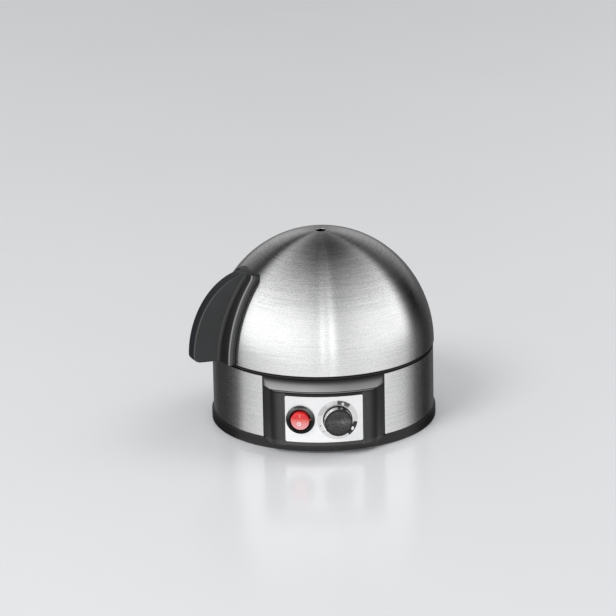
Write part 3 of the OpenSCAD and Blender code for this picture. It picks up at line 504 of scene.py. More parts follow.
# Knob's paint: the cap's face has a painted reflection, dark below with a paler band across it, and a painted
# highlight right of its middle; it is darker towards the rim and mottled, and the rest is black
def knobPaint(place, uv, shade, grain):
    right, up, out = faceAxes(place, controls["dialTurn"])
    away = distance(right, up)
    # painted highlight right of the middle, over the painted reflection that runs from the bottom up
    sheen = between(distance(right - 4.5, up * 1.6 - 1.2), 1.0, 7.0, 1.0, 0.0)
    spun = mixColour(sheen * 0.7, ramp(between(up, -11.0, 11.0), knobTones["spun"]), knobTones["sheen"])
    spun = mixColour(between(away, *knobTones["rimSpan"]), spun, knobTones["rim"])
    spun = mixColour(between(noise(place, 900.0), 0.35, 0.65, 0.0, 0.75), spun, knobTones["mottle"])
    return mixColour(between(away, *knobTones["face"]) * between(out, *knobTones["out"]), shade, spun)


# Side ring: chrome with a painted reflection, bright on its upper left by the turn round the knob's axis, and dark
# elsewhere
def sideRing(name):
    finish, surface, place, _ = newFinish(name, Metallic=1.0)
    right, up, _ = faceAxes(place, controls["dialTurn"])
    turn = turnOf(up, right)
    upperLeftReflection = between(turn, 55.0, 118.0) * between(turn, 158.0, 174.0, 1.0, 0.0)
    grain = noise(place, 800.0, 3.0)
    # painted reflection: pale on the upper left, dark elsewhere
    return dress(finish, surface, mixColour(upperLeftReflection * upperLeftReflection, 0.03, 0.96), spread(grain, 0.10, 0.18), grain, 0.001)


# Rows of plain finishes: darkest and palest colour, roughness, the grain's size and depth in millimetres, and for a
# plastic its shine and paint
soot, sootPale = (0.006, 0.006, 0.007), (0.011, 0.011, 0.012)
plainFinishes = {
    "zinc_steel": (plainMetal, 0.50, 0.66, (0.28, 0.42), 0.6, 0.01),
    "aluminium": (plainMetal, 0.62, 0.76, (0.34, 0.5), 0.9, 0.02),
    "tube_steel": (plainMetal, (0.13, 0.12, 0.11), (0.27, 0.24, 0.20), (0.38, 0.55), 1.5, 0.02),
    "brass": (plainMetal, (0.60, 0.42, 0.16), (0.78, 0.58, 0.26), (0.25, 0.4), 0.7, 0.01),
    "black_plastic": (mouldedPlastic, soot, sootPale, (0.28, 0.40), 0.5, 0.010),
    "panel_plastic": (mouldedPlastic, soot, sootPale, (0.34, 0.46), 0.45, 0.010, 0.2, panelPaint),
    "handle_plastic": (mouldedPlastic, (0.016, 0.017, 0.018), (0.026, 0.027, 0.029), (0.28, 0.38), 0.45, 0.006, 0.4,
                       handlePaint),
    "tray_plastic": (mouldedPlastic, (0.020, 0.020, 0.021), (0.034, 0.034, 0.036), (0.38, 0.52), 0.5, 0.014),
    "switch_plastic": (mouldedPlastic, (0.005, 0.005, 0.006), (0.009, 0.009, 0.010), (0.16, 0.24), 1.5, 0.002, 0.15,
                       switchPaint),
    "knob_plastic": (mouldedPlastic, 0.002, 0.005, (0.24, 0.34), 0.6, 0.006, 0.2, knobPaint),
    "rubber": (mouldedPlastic, 0.012, 0.024, (0.7, 0.85), 0.4, 0.03),
    "silicone": (mouldedPlastic, 0.42, 0.52, (0.45, 0.6), 0.8, 0.01),
    "inner_plastic": (mouldedPlastic, 0.022, 0.040, (0.45, 0.6), 0.5, 0.02),
    "relay_blue": (mouldedPlastic, (0.02, 0.07, 0.24), (0.035, 0.11, 0.34), (0.25, 0.4), 0.8, 0.006),
}
finishes = {
    "brushed_steel": brushedSteel("brushedSteel", brushedLook), "bowl_steel": brushedSteel("bowlSteel", bowlLook),
    "chrome": sideRing("chrome"), "silver_plate": silverPlate("silverPlate"), "red_rocker": redRocker("redRocker"),
    "board_green": boardGreen("boardGreen"),
}
for slot, (make, *look) in plainFinishes.items():
    first, *rest = slot.split("_")
    finishes[slot] = make(first + "".join(word.capitalize() for word in rest), *look)
print("finishes made:", len(finishes))


# Sizes are in millimetres and turns in degrees, in this dictionary and in those of the other pieces
lid = {
    "radius": 90.7, "height": 94.6, "rim": 62.7, "sheet": 0.9, "hole": 4.25,
    "hemIn": 88.7, "hemTop": 64.6, "hemRound": 0.6, "hemInnerRound": 0.5,
}


# Ellipse of revolution: the radius is a times the cosine and the height above the rim b times the sine of one angle
def ellipseArc(a, b, z, start, end, n):
    t = np.radians(np.linspace(start, end, n + 1))
    return joined(a * np.cos(t), z + b * np.sin(t))


# Dome: two ellipses of revolution a sheet apart, joined by the rolled hem below and the rounded hole above
def steelDome():
    a, b, z, edge, hole = lid["radius"], lid["height"], lid["rim"], lid["hemRound"], lid["hole"]
    ai, bi, turnIn = a - lid["sheet"], b - lid["sheet"], lid["hemInnerRound"]
    holeOuter, holeInner = (np.degrees(np.arccos((hole + 0.3) / r)) for r in (a, ai))
    outer = ellipseArc(a, b, z, np.degrees(np.arcsin(edge / b)), holeOuter, 110)
    inner = ellipseArc(ai, bi, z, holeInner, np.degrees(np.arcsin((lid["hemTop"] + 0.02 - z) / bi)), 60)
    zo, zi = outer[-1, 1], inner[0, 1]
    profile = [
        arc(lid["hemIn"] + edge, z + edge, edge, 180, 270, 4), arc(a - edge, z + edge, edge, 270, 354, 6), outer,
        [(hole + 0.08, zo - 0.06), (hole, zo - 0.25), (hole, zi + 0.25), (hole + 0.08, zi + 0.06)], inner,
        arc(lid["hemIn"] + turnIn, lid["hemTop"] - turnIn, turnIn, 90, 180, 4)]
    makePiece("steelDome", [revolveLoop(profile, steps=256)], "lid", "brushed_steel", "lid_dome")


band = {"outer": 90.0, "sheet": 0.6, "low": 8.35, "high": 60.25, "round": 0.12, "open": 32.81}


# Band: a rectangle with rounded corners turned about the axis and closed at its two ends
def steelBand():
    outer, inner, r, low, high = band["outer"], band["outer"] - band["sheet"], band["round"], band["low"], band["high"]
    profile = np.vstack([
        arc(inner + r, low + r, r, 180, 270, 2), arc(outer - r, low + r, r, 270, 360, 3),
        np.linspace((outer, low + 1), (outer, high - 1), 23),
        arc(outer - r, high - r, r, 0, 90, 3), arc(inner + r, high - r, r, 90, 180, 2)])
    strip = revolveLoop(profile, start=-90 + band["open"], end=270 - band["open"], steps=220)
    ends = [(strip[0][k, :-1], (0, 0)) for k in (0, -1)]
    makePiece("steelBand", [strip, *ends], "base", "brushed_steel", "steel_band")


# Posts are rows of distance from the axis, turns, radius, low end and high end
lip = {
    "posts": [(79.0, (30, 150, 210, 330), 4.0, 48.0, 55.5), (71.0, range(0, 360, 60), 3.5, 50.65, 55.0)], "bore": 1.55,
    "section": [
        [(89.3, 60.3)], *(softCorner(*corner) for corner in (
            ((89.3, 60.7), (89.35, 60.85), (89.6, 60.9), 3), ((89.6, 60.9), (90.2, 60.95), (90.2, 61.5), 5),
            ((90.2, 61.6), (90.2, 62.3), (89.5, 62.3), 6), ((89.0, 62.3), (88.7, 62.3), (88.7, 62.0), 3),
            ((88.7, 61.2), (88.7, 61.0), (88.5, 61.0), 3), ((84.1, 61.0), (83.7, 61.0), (83.7, 60.6), 3),
            ((83.7, 58.1), (83.7, 56.6), (82.3, 56.45), 5), ((62.8, 55.03), (62.0, 55.0), (62.0, 54.2), 5))),
        [(62.0, 53.0), (84.4, 54.5), (84.4, 52.3), (86.6, 52.3), (86.6, 60.3)]],
}


# Lip ring: its section turned about the axis, with the screw posts below it turned about their own axes
def lipRing():
    posts = []
    for ring, turns, r, low, high in lip["posts"]:
        for turn in np.radians(list(turns)):
            post = [(lip["bore"], high - 0.5), (lip["bore"], low), (r - 0.2, low), (r, low + 0.2), (r, high)]
            posts.append(revolve([post], steps=32, at=polar(ring, turn)))
    makePiece("lipRing", [revolveLoop(lip["section"]), *posts], "base", "black_plastic", "upper_ring")


# The groove is a profile of radius and height. The pocket's edge is rows of inset and radius, down to its floor. Where
# the cheeks end at the band, an edge is held to its share of the depth plus the least, and the shelf to its last step
panel = {
    "front": 98.0, "corner": 24.73, "side": 32.61, "sideRadius": 90.0, "round": 12.0, "back": 89.4, "foot": 91.8,
    "low": 6.0, "overFoot": 8.6, "shelfFront": (96.5, 52.7), "shelfBack": (89.8, 60.0), "dip": 0.9, "bead": 0.7,
    "groove": [(96.5, 52.7), (96.53, 52.1), (96.6, 52.0), (97.0, 52.0), (97.1, 52.05), (97.25, 52.36), (97.3, 52.4)],
    "crest": (97.0, 52.4), "lowEdge": 1.6, "wall": 1.8, "pocket": (31.4, 19.6),
    "edgeShare": {"bead": 0.4, "lowEdge": 0.5}, "least": 0.02, "lastStep": 0.985,
    "pocketEdge": [(0, 98.0), (0.02, 97.98), (0.05, 97.94), (0.06, 97.85), (0.06, 97.25)],
}
# The plate's two halves meet at a line between the switch and the dial. Holes are rows of side, turn and radius
plate = {
    "half": (31.0, 19.2), "corner": 1.2, "sheet": 0.9, "edge": 0.22, "split": -1.0,
    "holes": [(-1, controls["switchTurn"], 10.0), (1, controls["dialTurn"], 4.05)],
}


# Right half of the panel's plan, as radius and turn: an arc about the axis, a rounded corner and a straight cheek. The
# corner's middle lies its radius inside the cheek's line and inside the front arc
def panelPlan():
    big, r = panel["front"], panel["round"]
    c, s = np.radians(panel["corner"]), np.radians(panel["side"])
    start = np.array([big * np.sin(c), -big * np.cos(c)])
    end = panel["sideRadius"] * np.array([np.sin(s), -np.cos(s)])
    u = (end - start) / np.linalg.norm(end - start)
    n = np.array([-u[1], u[0]])
    middle = start + n * r
    along, beyond = middle @ u, middle @ middle - (big - r) ** 2
    middle = middle + u * (-along - np.copysign(np.sqrt(along ** 2 - beyond), beyond))
    fillet = arc(*middle, r, np.degrees(np.arctan2(middle[1], middle[0])), np.degrees(np.arctan2(-n[1], -n[0])), 16)
    cheek = np.linspace(fillet[-1], end, 60)[1:]
    split = np.argmax(np.linalg.norm(cheek, axis=1) < panel["foot"])
    cheek = np.vstack([cheek[:split:6], cheek[split - 1:split + 1], cheek[split + 4::6], end[None],
                       end[None] * panel["back"] / panel["sideRadius"]])
    whole = np.vstack([fillet, cheek])
    return np.linalg.norm(whole, axis=1), np.degrees(np.arctan2(whole[:, 0], -whole[:, 1]))


# Place on the dished shelf for a radius: the root of a straight slope with a parabolic dip
def shelfStep(radius):
    (r0, z0), (r1, z1) = panel["shelfFront"], panel["shelfBack"]
    bow = panel["dip"] * 4 * (z1 - z0) / np.hypot(r1 - r0, z1 - z0)
    run = r0 - r1 + bow
    return (run - np.sqrt(run ** 2 - 4 * bow * (r0 - radius))) / (2 * bow)


# Point of the shelf's slope: the straight line less the dip 4 t (1 - t) square to it
def shelfPoint(t):
    (r0, z0), (r1, z1) = panel["shelfFront"], panel["shelfBack"]
    bow = panel["dip"] * 4 * t * (1 - t) / np.hypot(r1 - r0, z1 - z0)
    return joined(mix(r0, r1, t) - bow * (z1 - z0), mix(z0, z1, t) + bow * (r1 - r0))


# Height of the shelf, the groove or the bead at a radius
def crownHeight(radius):
    groove = np.array(panel["groove"])
    onShelf = shelfPoint(shelfStep(np.minimum(radius, groove[0, 0])))[..., 1]
    return np.where(radius <= groove[0, 0], onShelf, np.interp(radius, groove[:, 0], groove[:, 1]))


# Flat loop of (x, z) points round one half of a rectangle with round corners, then back down the line where they meet
def halfOutline(xs, zs, corner, side, split):
    mine = xs[xs >= split] if side > 0 else xs[xs <= split][::-1]
    far, low, high = mine[-1], zs[0], zs[-1]
    bottom, top = joined(mine, low - corner), joined(mine[::-1], high + corner)
    edge = joined(far + side * corner, zs)
    lowTurn = arc(far, low, corner, -90, -90 + side * 90, 5)[1:-1]
    highTurn = arc(far, high, corner, 90 - side * 90, 90, 5)[1:-1]
    middle = np.linspace((split, high + corner), (split, low - corner), len(zs) + 2)[1:]
    parts = [bottom, lowTurn, edge, highTurn, top, middle] if corner else [bottom, edge[1:-1], top, middle]
    return np.vstack(parts)


# (x, z) points put on the upright cylinder of a radius
def upright(flat, radius):
    return joined(flat[..., 0], -np.sqrt(radius ** 2 - flat[..., 0] ** 2), flat[..., 1])


# Sheets round the plate's two holes: straight lines from each point of an outline towards the hole's middle
def ruledSheets(xs, zs, corner, split, radius, rows):
    t, sheets = np.linspace(0, 1, rows)[:, None, None], []
    for side, turn, r in plate["holes"]:
        outline = halfOutline(xs, zs, corner, side, split)
        squeeze = np.cos(np.radians(turn))
        middle = np.array([controls["faceRadius"] * np.sin(np.radians(turn)), controls["plateZ"]])
        away = (outline - middle) / [squeeze, 1]
        rim = middle + away / np.linalg.norm(away, axis=1)[:, None] * [r * squeeze, r]
        sheets.append((upright(mix(rim, outline, t), radius), (0, 0)))
    return sheets


# Places across and up a sheet, close enough for its curve, with one at the line where its halves meet
def sheetSteps(halfX, halfZ, count):
    middle = plate["split"]
    xs = np.concatenate([np.linspace(-halfX, middle, 31), np.linspace(middle, halfX, 33)[1:]])
    return xs, controls["plateZ"] + np.linspace(-halfZ, halfZ, count)


# Panel housing: one section per place on the plan, from the shelf's back edge over the bead, down the front and under
# the chin. A rectangle of the front is left open for the plate's pocket
def panelHousing():
    xs, zs = sheetSteps(*panel["pocket"], 39)
    radii, turns = panelPlan()
    flatTurns = np.degrees(np.arcsin(xs / panel["front"]))
    lead = np.linspace(flatTurns[-1], turns[0], 6)[1:-1]
    sideR = np.concatenate([np.full(len(lead), panel["front"]), radii])
    sideT = np.concatenate([lead, turns])
    columnR = np.concatenate([sideR[::-1], np.full(len(xs), panel["front"]), sideR])[:, None]
    columnT = np.concatenate([-sideT[::-1], flatTurns, sideT])[:, None]
    depth = columnR - panel["back"]
    edge, roundLow = (np.minimum(panel[key], depth * panel["edgeShare"][key] + panel["least"])
                      for key in ("bead", "lowEdge"))
    last = np.maximum(columnR - edge, panel["back"])
    backStep = shelfStep(panel["shelfBack"][0] + 0.001)
    frontStep = np.minimum(shelfStep(np.minimum(last, panel["shelfFront"][0])), backStep * panel["lastStep"])
    shelf = shelfPoint(mix(backStep, frontStep, np.linspace(0, 1, 15)))
    grooveR = np.maximum(np.minimum(np.array(panel["groove"])[None, 1:, 0], last), shelf[:, -1:, 0])
    groove = joined(grooveR, crownHeight(grooveR))
    brow = groove[:, -1]
    crestZ = np.where(columnR[:, 0] > panel["crest"][0], panel["crest"][1], brow[:, 1])
    crest = joined(columnR[:, 0], crestZ)
    fall = crest - joined(0, edge[:, 0])
    brow = softCorner(brow, crest, fall, 7)[:, 1:]
    top = fall[:, 1:]
    upper = joined(columnR, mix(top, zs[-1], np.linspace(0, 1, 6)[1:-1]))
    front = joined(columnR, zs[::-1])
    low = np.where(columnR > panel["foot"], panel["low"], panel["overFoot"])
    lower = joined(columnR, mix(zs[0], low + roundLow, np.linspace(0, 1, 5)[1:-1]))
    chin = softCorner(*(np.hstack(pair) for pair in (
        (columnR, low + roundLow), (columnR, low), (columnR - roundLow, low))), 8)
    inner, over = np.maximum(np.minimum(panel["foot"], columnR - roundLow), panel["back"]), 0 * low + panel["overFoot"]
    under = joined(inner, low), joined(inner, over), joined(panel["back"], over)
    section = np.concatenate([shelf, groove, brow, upper, front, lower, chin, *under], 1)
    t = np.radians(columnT)
    skin = joined(section[..., 0] * np.sin(t), -section[..., 0] * np.cos(t), section[..., 1])
    along = np.cumsum(np.linalg.norm(np.diff(section, axis=1, prepend=section[:, :1]), axis=-1), axis=1)
    skinUV = joined(t, along * uvPerMm)
    keep = np.ones((skin.shape[0] - 1, skin.shape[1] - 1), bool)
    firstCol, firstRow = len(sideT), sum(part.shape[1] for part in (shelf, groove, brow, upper))
    keep[firstCol:firstCol + len(xs) - 1, firstRow:firstRow + len(zs) - 1] = False

    loop = np.vstack([joined(xs, zs[0]), joined(xs[-1], zs)[1:], joined(xs, zs[-1])[-2::-1],
                      joined(xs[0], zs)[-2::-1]])
    centre, floorR = np.array([0, controls["plateZ"]]), panel["pocketEdge"][-1][1]
    shrink = [1 - inset / np.array(panel["pocket"]) for inset, _ in panel["pocketEdge"]]
    walls = np.stack([upright(centre + (loop - centre) * s, r) for s, (_, r) in zip(shrink, panel["pocketEdge"])])
    squeeze = shrink[-1]
    floorXs, floorZs = xs * squeeze[0], controls["plateZ"] + (zs - controls["plateZ"]) * squeeze[1]
    floors = ruledSheets(floorXs, floorZs, 0, plate["split"] * squeeze[0], floorR, 9)
    makePiece("panelHousing", [(skin, skinUV, keep), (walls, (0, 0)), *floors], "base", "panel_plastic",
              "control_housing", 30, (0, -1, 0), panel["wall"])


# Face plate: two ruled sheets, one round each hole, that share the line where they meet
def facePlate():
    xs, zs = sheetSteps(*(half - plate["corner"] for half in plate["half"]), 37)
    halves = ruledSheets(xs, zs, plate["corner"], plate["split"], controls["faceRadius"], 12)
    makePiece("silverPlate", halves, "base", "silver_plate", "face_plate", 35, (0, -1, 0),
              plate["sheet"], plate["edge"])


# From a control's own axes, X right, Y up and Z out, to the panel's face: stood upright, moved out and turned about Z
def onPanel(part, turn):
    points, uv = part
    x, y = turned(points[..., 0], -points[..., 2] - controls["faceRadius"], np.radians(turn))
    return joined(x, y, points[..., 1] + controls["plateZ"]), uv


# The rocker's rim is rows of inset and drop, its sides are a profile, and low is the height of its crease
switch = {
    "barrel": 9.85, "clips": (-11.0, -5.0), "radius": 7.45, "low": 2.6, "rise": 0.925, "crease": 1.4, "tilt": 8.0,
    "pivot": -1.0, "pin": [(0, -9.15), (0.7, -9.15), (0.9, -8.95), (0.9, 8.95), (0.7, 9.15), (0, 9.15)],
    "rim": [(0.3, 0.04), (0.13, 0.14), (0.03, 0.3), (0.0, 0.55)],
    "sides": [(7.45, -0.3), (6.95, -0.7), (6.95, -1.2), (6.95, -3.2), (0, -3.2)],
    "bezel": [
        [(0, -7.0), (8.2, -7.0), (8.35, -6.8), (8.35, 0.3)], softCorner((8.35, 0.3), (8.4, 1.0), (8.8, 1.5), 4),
        softCorner((8.95, 1.65), (9.45, 2.3), (10.2, 2.35), 6),
        softCorner((10.35, 2.35), (11.35, 2.3), (11.65, 1.2), 8),
        [(11.75, 0.3), (11.72, 0.05), (9.85, 0.05), (9.85, -15.8), (9.65, -16.0), (0, -16.0)]],
}


# Switch bezel: a bulged ring on a barrel, turned about its axis, with the two clips of the barrel as boxes
def switchBezel():
    clips = []
    for side in (-1, 1):
        y = side * (switch["barrel"] - 0.5)
        ring = np.array([(-3, y - 0.9), (3, y - 0.9), (3, y + 0.9), (-3, y + 0.9), (-3, y - 0.9)])
        box = np.stack([joined(*ring.T, z) for z in switch["clips"]])
        clips += [(box, (0, 0)), (box[0, :-1], (0, 0)), (box[1, :-1], (0, 0))]
    body = [onPanel(p, controls["switchTurn"]) for p in [revolve(switch["bezel"], steps=128), *clips]]
    makePiece("switchBezel", body, "base", "switch_plastic", "switch_body")


# Rocker: a disc whose face falls from both ends to a soft crease in the middle, a hyperbola in height, with a rounded
# rim, turned back about its two pins by the tilt
def rockerButton():
    a = np.radians(np.linspace(0, 360, 121))[:, None]
    r, soft = switch["radius"], switch["crease"]
    inset, drop = np.transpose([*((mix(r, 0.5, t), 0) for t in np.linspace(0, 1, 16)), *switch["rim"]])
    faceR = r - inset
    up = faceR * np.sin(a)
    fold = (np.sqrt(up ** 2 + soft ** 2) - soft) / (np.sqrt(r ** 2 + soft ** 2) - soft)
    face = joined(faceR * np.cos(a), up, switch["low"] + switch["rise"] * fold - drop)
    sides, _ = revolve([switch["sides"]], steps=120)
    pin, _ = revolve([switch["pin"]], steps=24)
    pin = joined(pin[..., 2], pin[..., 0], pin[..., 1] + switch["pivot"])
    parts = []
    for points in (np.concatenate([face, sides], 1), pin):
        y, z = turned(points[..., 1], points[..., 2] - switch["pivot"], np.radians(switch["tilt"]))
        parts.append(onPanel((joined(points[..., 0], y, z + switch["pivot"]), (0, 0)), controls["switchTurn"]))
    makePiece("rockerButton", parts, "rocker", "red_rocker", "switch_rocker")


# Pointer is a profile at a radius and a turn. Crown is the radius that the parabola starts from, its top and its fall
knob = {
    "pointer": [(0, 0.4), (1.15, 0.4), (1.3, 0.55), (1.3, 1.35), (1.15, 1.5), (0, 1.5)], "pointerAt": (11.35, 225.0),
    "skirt": [
        [(7.4, 0.4), (11.7, 0.4), (11.85, 0.55), (11.85, 1.7)], softCorner((11.85, 1.75), (11.85, 2.2), (11.4, 2.2), 4),
        [(10.05, 2.2), (10.05, 7.75), (9.95, 7.85), (0.001, 7.85), (0.001, 6.7), (3.05, 6.7), (3.05, 2.9), (7.4, 2.9)]],
    "ring": [
        [(10.15, 2.25), (11.3, 2.25), (11.36, 2.4)], np.linspace((11.36, 2.6), (11.2, 7.4), 8),
        softCorner((11.19, 7.6), (11.17, 7.88), (10.95, 7.9), 4), [(10.15, 7.9)]],
    "cap": [[(0, 7.92), (11.0, 7.92), (11.1, 8.02), (11.1, 8.3)],
            softCorner((11.08, 8.42), (11.0, 8.53), (10.8, 8.55), 4)],
    "crown": (10.7, 8.89, 0.33),
}


# Knob: the skirt with its pointer, the bright side ring and the cap. The cap's crown is a parabola in height
def dialKnob():
    r, turn = knob["pointerAt"]
    pointer = revolve([knob["pointer"]], steps=32, at=polar(r, np.radians(turn)))
    reach, high, fall = knob["crown"]
    s = np.linspace(1, 0, 14)
    crown = joined(reach * s, high - fall * s ** 2)
    for name, slot, node, parts in (
            ("knobSkirt", "knob_plastic", "knob", [revolveLoop(knob["skirt"], steps=144), pointer]),
            ("knobSideRing", "chrome", "knob_ring", [revolveLoop(knob["ring"], steps=144)]),
            ("knobFrontCap", "knob_plastic", "knob_cap", [revolve([*knob["cap"], crown], steps=144)])):
        makePiece(name, [onPanel(part, controls["dialTurn"]) for part in parts], "dial", slot, node)


handle = {
    "azimuth": 204.5, "low": 63.2, "mid": 66.0, "top": 132.1, "tip": 116.48, "arcR": 52.9, "arcH": 67.3, "heel": 6.0,
    "edgeWidth": 10.7, "draft": 0.1794, "nose": 1.2, "fillet": 1.6, "ridge": 1.2,
    "flangeTurn": 14.76, "flange": 5.0, "flangeRound": 3.0, "corner": 4.0, "gap": 0.3,
}


# Radius of the dome, or of an ellipse a step outside it, at a height
def domeAt(z, out=0.0):
    return (lid["radius"] + out) * np.sqrt(1 - ((z - lid["rim"]) / (lid["height"] + out)) ** 2)


# One side of the handle's level slices. From the nose, an arc leads to the drafted side, which runs straight to a
# fillet, then the flange's face follows the dome and its edge turns in with a round. The nose itself is a quarter
# ellipse in height over a round heel, and the flange's two upper corners are round
def handleSide(z):
    inner, outer = domeAt(z) + handle["gap"], domeAt(z, handle["flange"])
    above = np.clip((z - handle["mid"]) / handle["arcH"], 0, 1)
    under = np.maximum(handle["low"] + handle["heel"] - z, 0)
    reach = handle["tip"] - handle["arcR"] + handle["arcR"] * np.sqrt(1 - above ** 2)
    nose = reach - handle["heel"] + np.sqrt(np.maximum(handle["heel"] ** 2 - under ** 2, 0))
    nose = np.maximum(nose, outer + handle["ridge"])
    stand = nose - outer
    bend, sweep = (np.minimum(handle[key], stand * share) for key, share in (("nose", 0.4), ("fillet", 0.5)))

    def half(depth):
        return handle["edgeWidth"] / 2 + handle["draft"] * depth

    rise = 0.95 * np.maximum(z - handle["top"] + handle["corner"], 0)
    draw = handle["corner"] - np.sqrt(handle["corner"] ** 2 - rise ** 2)
    front = np.linspace(0, 1, 4)[:-1, None]
    tip = joined(nose - bend, half(bend) - bend)[:, None] + polar(bend[:, None], np.radians(np.linspace(0, 80, 9)))
    edge = mix(joined(nose, 0)[:, None], tip[:, :1], front)
    root = outer + sweep
    rootEnd = joined(root, half(nose - root))
    flank = mix(tip[:, -1:], rootEnd[:, None], np.linspace(0, 1, 8)[1:-1, None])
    footTurn = np.arcsin((half(stand) + sweep) / outer)
    fillet = softCorner(rootEnd, joined(outer, half(stand)), polar(outer, footTurn), 6)
    full = np.radians(handle["flangeTurn"]) - draw / outer
    edgeTurn = full - handle["flangeRound"] / outer
    flangeFace = polar(outer[:, None], mix(footTurn[:, None], edgeTurn[:, None], np.linspace(0, 1, 6)[1:-1]))
    deep = np.minimum(handle["flangeRound"], outer - inner - 0.8)
    rim = softCorner(polar(outer, edgeTurn), polar(outer, full), polar(outer - deep, full), 8)
    back = polar(inner[:, None], full[:, None] * np.linspace(1, 0, 9)[:-1])
    parts, ends = [edge, tip, flank, fillet, flangeFace, rim, back], [0, 0.06, 0.10, 0.20, 0.22, 0.30, 0.35, 0.45]
    places = np.concatenate([np.linspace(low, high, part.shape[1] + 1)[:-1]
                             for part, low, high in zip(parts, ends, ends[1:])])
    return np.concatenate(parts, 1), places, inner


# Handle: the level slices skinned from the heel to the top, mirrored about the fin's plane and turned to their azimuth
def finHandle():
    heelSteps = handle["low"] + handle["heel"] * (1 - np.cos(np.radians(np.linspace(0, 80, 17))))
    arcSteps = handle["mid"] + handle["arcH"] * np.sin(np.radians(np.linspace(4.2, 80, 60)))
    arcSteps = arcSteps[(arcSteps > heelSteps[-1] + 0.3) & (arcSteps < handle["top"] - 4.2)]
    topSteps = handle["top"] - handle["corner"] * (1 - np.sin(np.radians(np.linspace(0, 90, 11))))
    levels = np.concatenate([heelSteps, arcSteps, topSteps])
    half, places, inner = handleSide(levels)
    middle = joined(inner, 0)[:, None]
    slices = np.concatenate([half, middle, half[:, ::-1] * [1, -1]], 1)
    across = np.concatenate([places, [0.5], places[::-1]])
    x, y = turned(slices[..., 0], slices[..., 1], np.radians(handle["azimuth"]))
    slices = joined(x, y, levels[:, None])
    uv = joined(across, levels[:, None] * uvPerMm)
    caps = [(slices[k, :-1], (0.4, 0)) for k in (0, -1)]
    makePiece("finHandle", [(slices, uv), *caps], "lid", "handle_plastic", "lid_handle", 28)


bowl = [
    [(66.0, 51.65)], arc(62.2, 50.45, 1.2, 90, 155, 5), arc(54.5, 46.05, 3.0, -25, -90, 8),
    [(30, 43.05), (29.6, 42.95), (29.0, 42.95), (28.6, 43.05), (0, 43.05), (0, 42.05)],
    arc(54.5, 46.05, 4.0, -90, -25, 8), arc(62.2, 50.45, 0.2, 155, 90, 3), [(66.0, 50.65)]]
bushing = [
    [(3.4, 82.0), (3.6, 81.75), (5.3, 81.75), (5.4, 82.15), (7.4, 82.15), (7.6, 82.35), (7.6, 86.1), (7.4, 86.35),
     (5.4, 86.35), (5.4, 90.05), (7.45, 90.05), (7.6, 90.2)], softCorner((7.6, 91.1), (7.6, 91.6), (7.1, 91.9), 4),
    np.linspace((7.0, 91.97), (5.7, 93.35), 4), softCorner((5.5, 93.5), (5.1, 93.79), (4.5, 93.79), 4),
    softCorner((3.9, 93.79), (3.4, 93.79), (3.4, 93.3), 4)]
bushingHeight = 17.0


# Water bowl and cord bushing: closed profiles turned about the bowl's axis and about the bushing's, which points back
def bowlAndBushing():
    makePiece("waterBowl", [revolveLoop(bowl, steps=192)], "base", "bowl_steel", "heating_bowl")
    points, uv = revolveLoop(bushing, steps=72)
    points = joined(points[..., 0], points[..., 2], points[..., 1] + bushingHeight)
    makePiece("cordBushing", [(points, uv)], "base", "black_plastic", "cord_gland")


for build in (steelDome, steelBand, lipRing, panelHousing, facePlate, switchBezel, rockerButton, dialKnob, finHandle,
              bowlAndBushing):
    build()
# The CAD nodes that stay as they are, by their finish
kept = {
    "black_plastic": ["base_housing", "bottom_cover"], "rubber": ["foot_pads"], "silicone": ["bowl_seal"],
    "zinc_steel": ["cover_screws", "ring_screws", "clamp_ring", "clamp_screws", "dial_control", "dial_nut",
                   "board_screws", "handle_screws"],
    "aluminium": ["heat_plate", "dial_shaft"], "tube_steel": ["heating_tube"],
    "brass": ["thermal_fuse", "switch_terminals"], "inner_plastic": ["thermostat", "capacitor", "buzzer"],
    "board_green": ["circuit_board"], "relay_blue": ["relay"], "tray_plastic": ["egg_tray"],
}
for slot, nodes in kept.items():
    for node in nodes:
        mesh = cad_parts[node].data
        mesh.materials.clear()
        mesh.materials.append(finishes[slot])
print("CAD nodes finished:", sum(len(nodes) for nodes in kept.values()))


scene.view_settings.view_transform = "Standard"
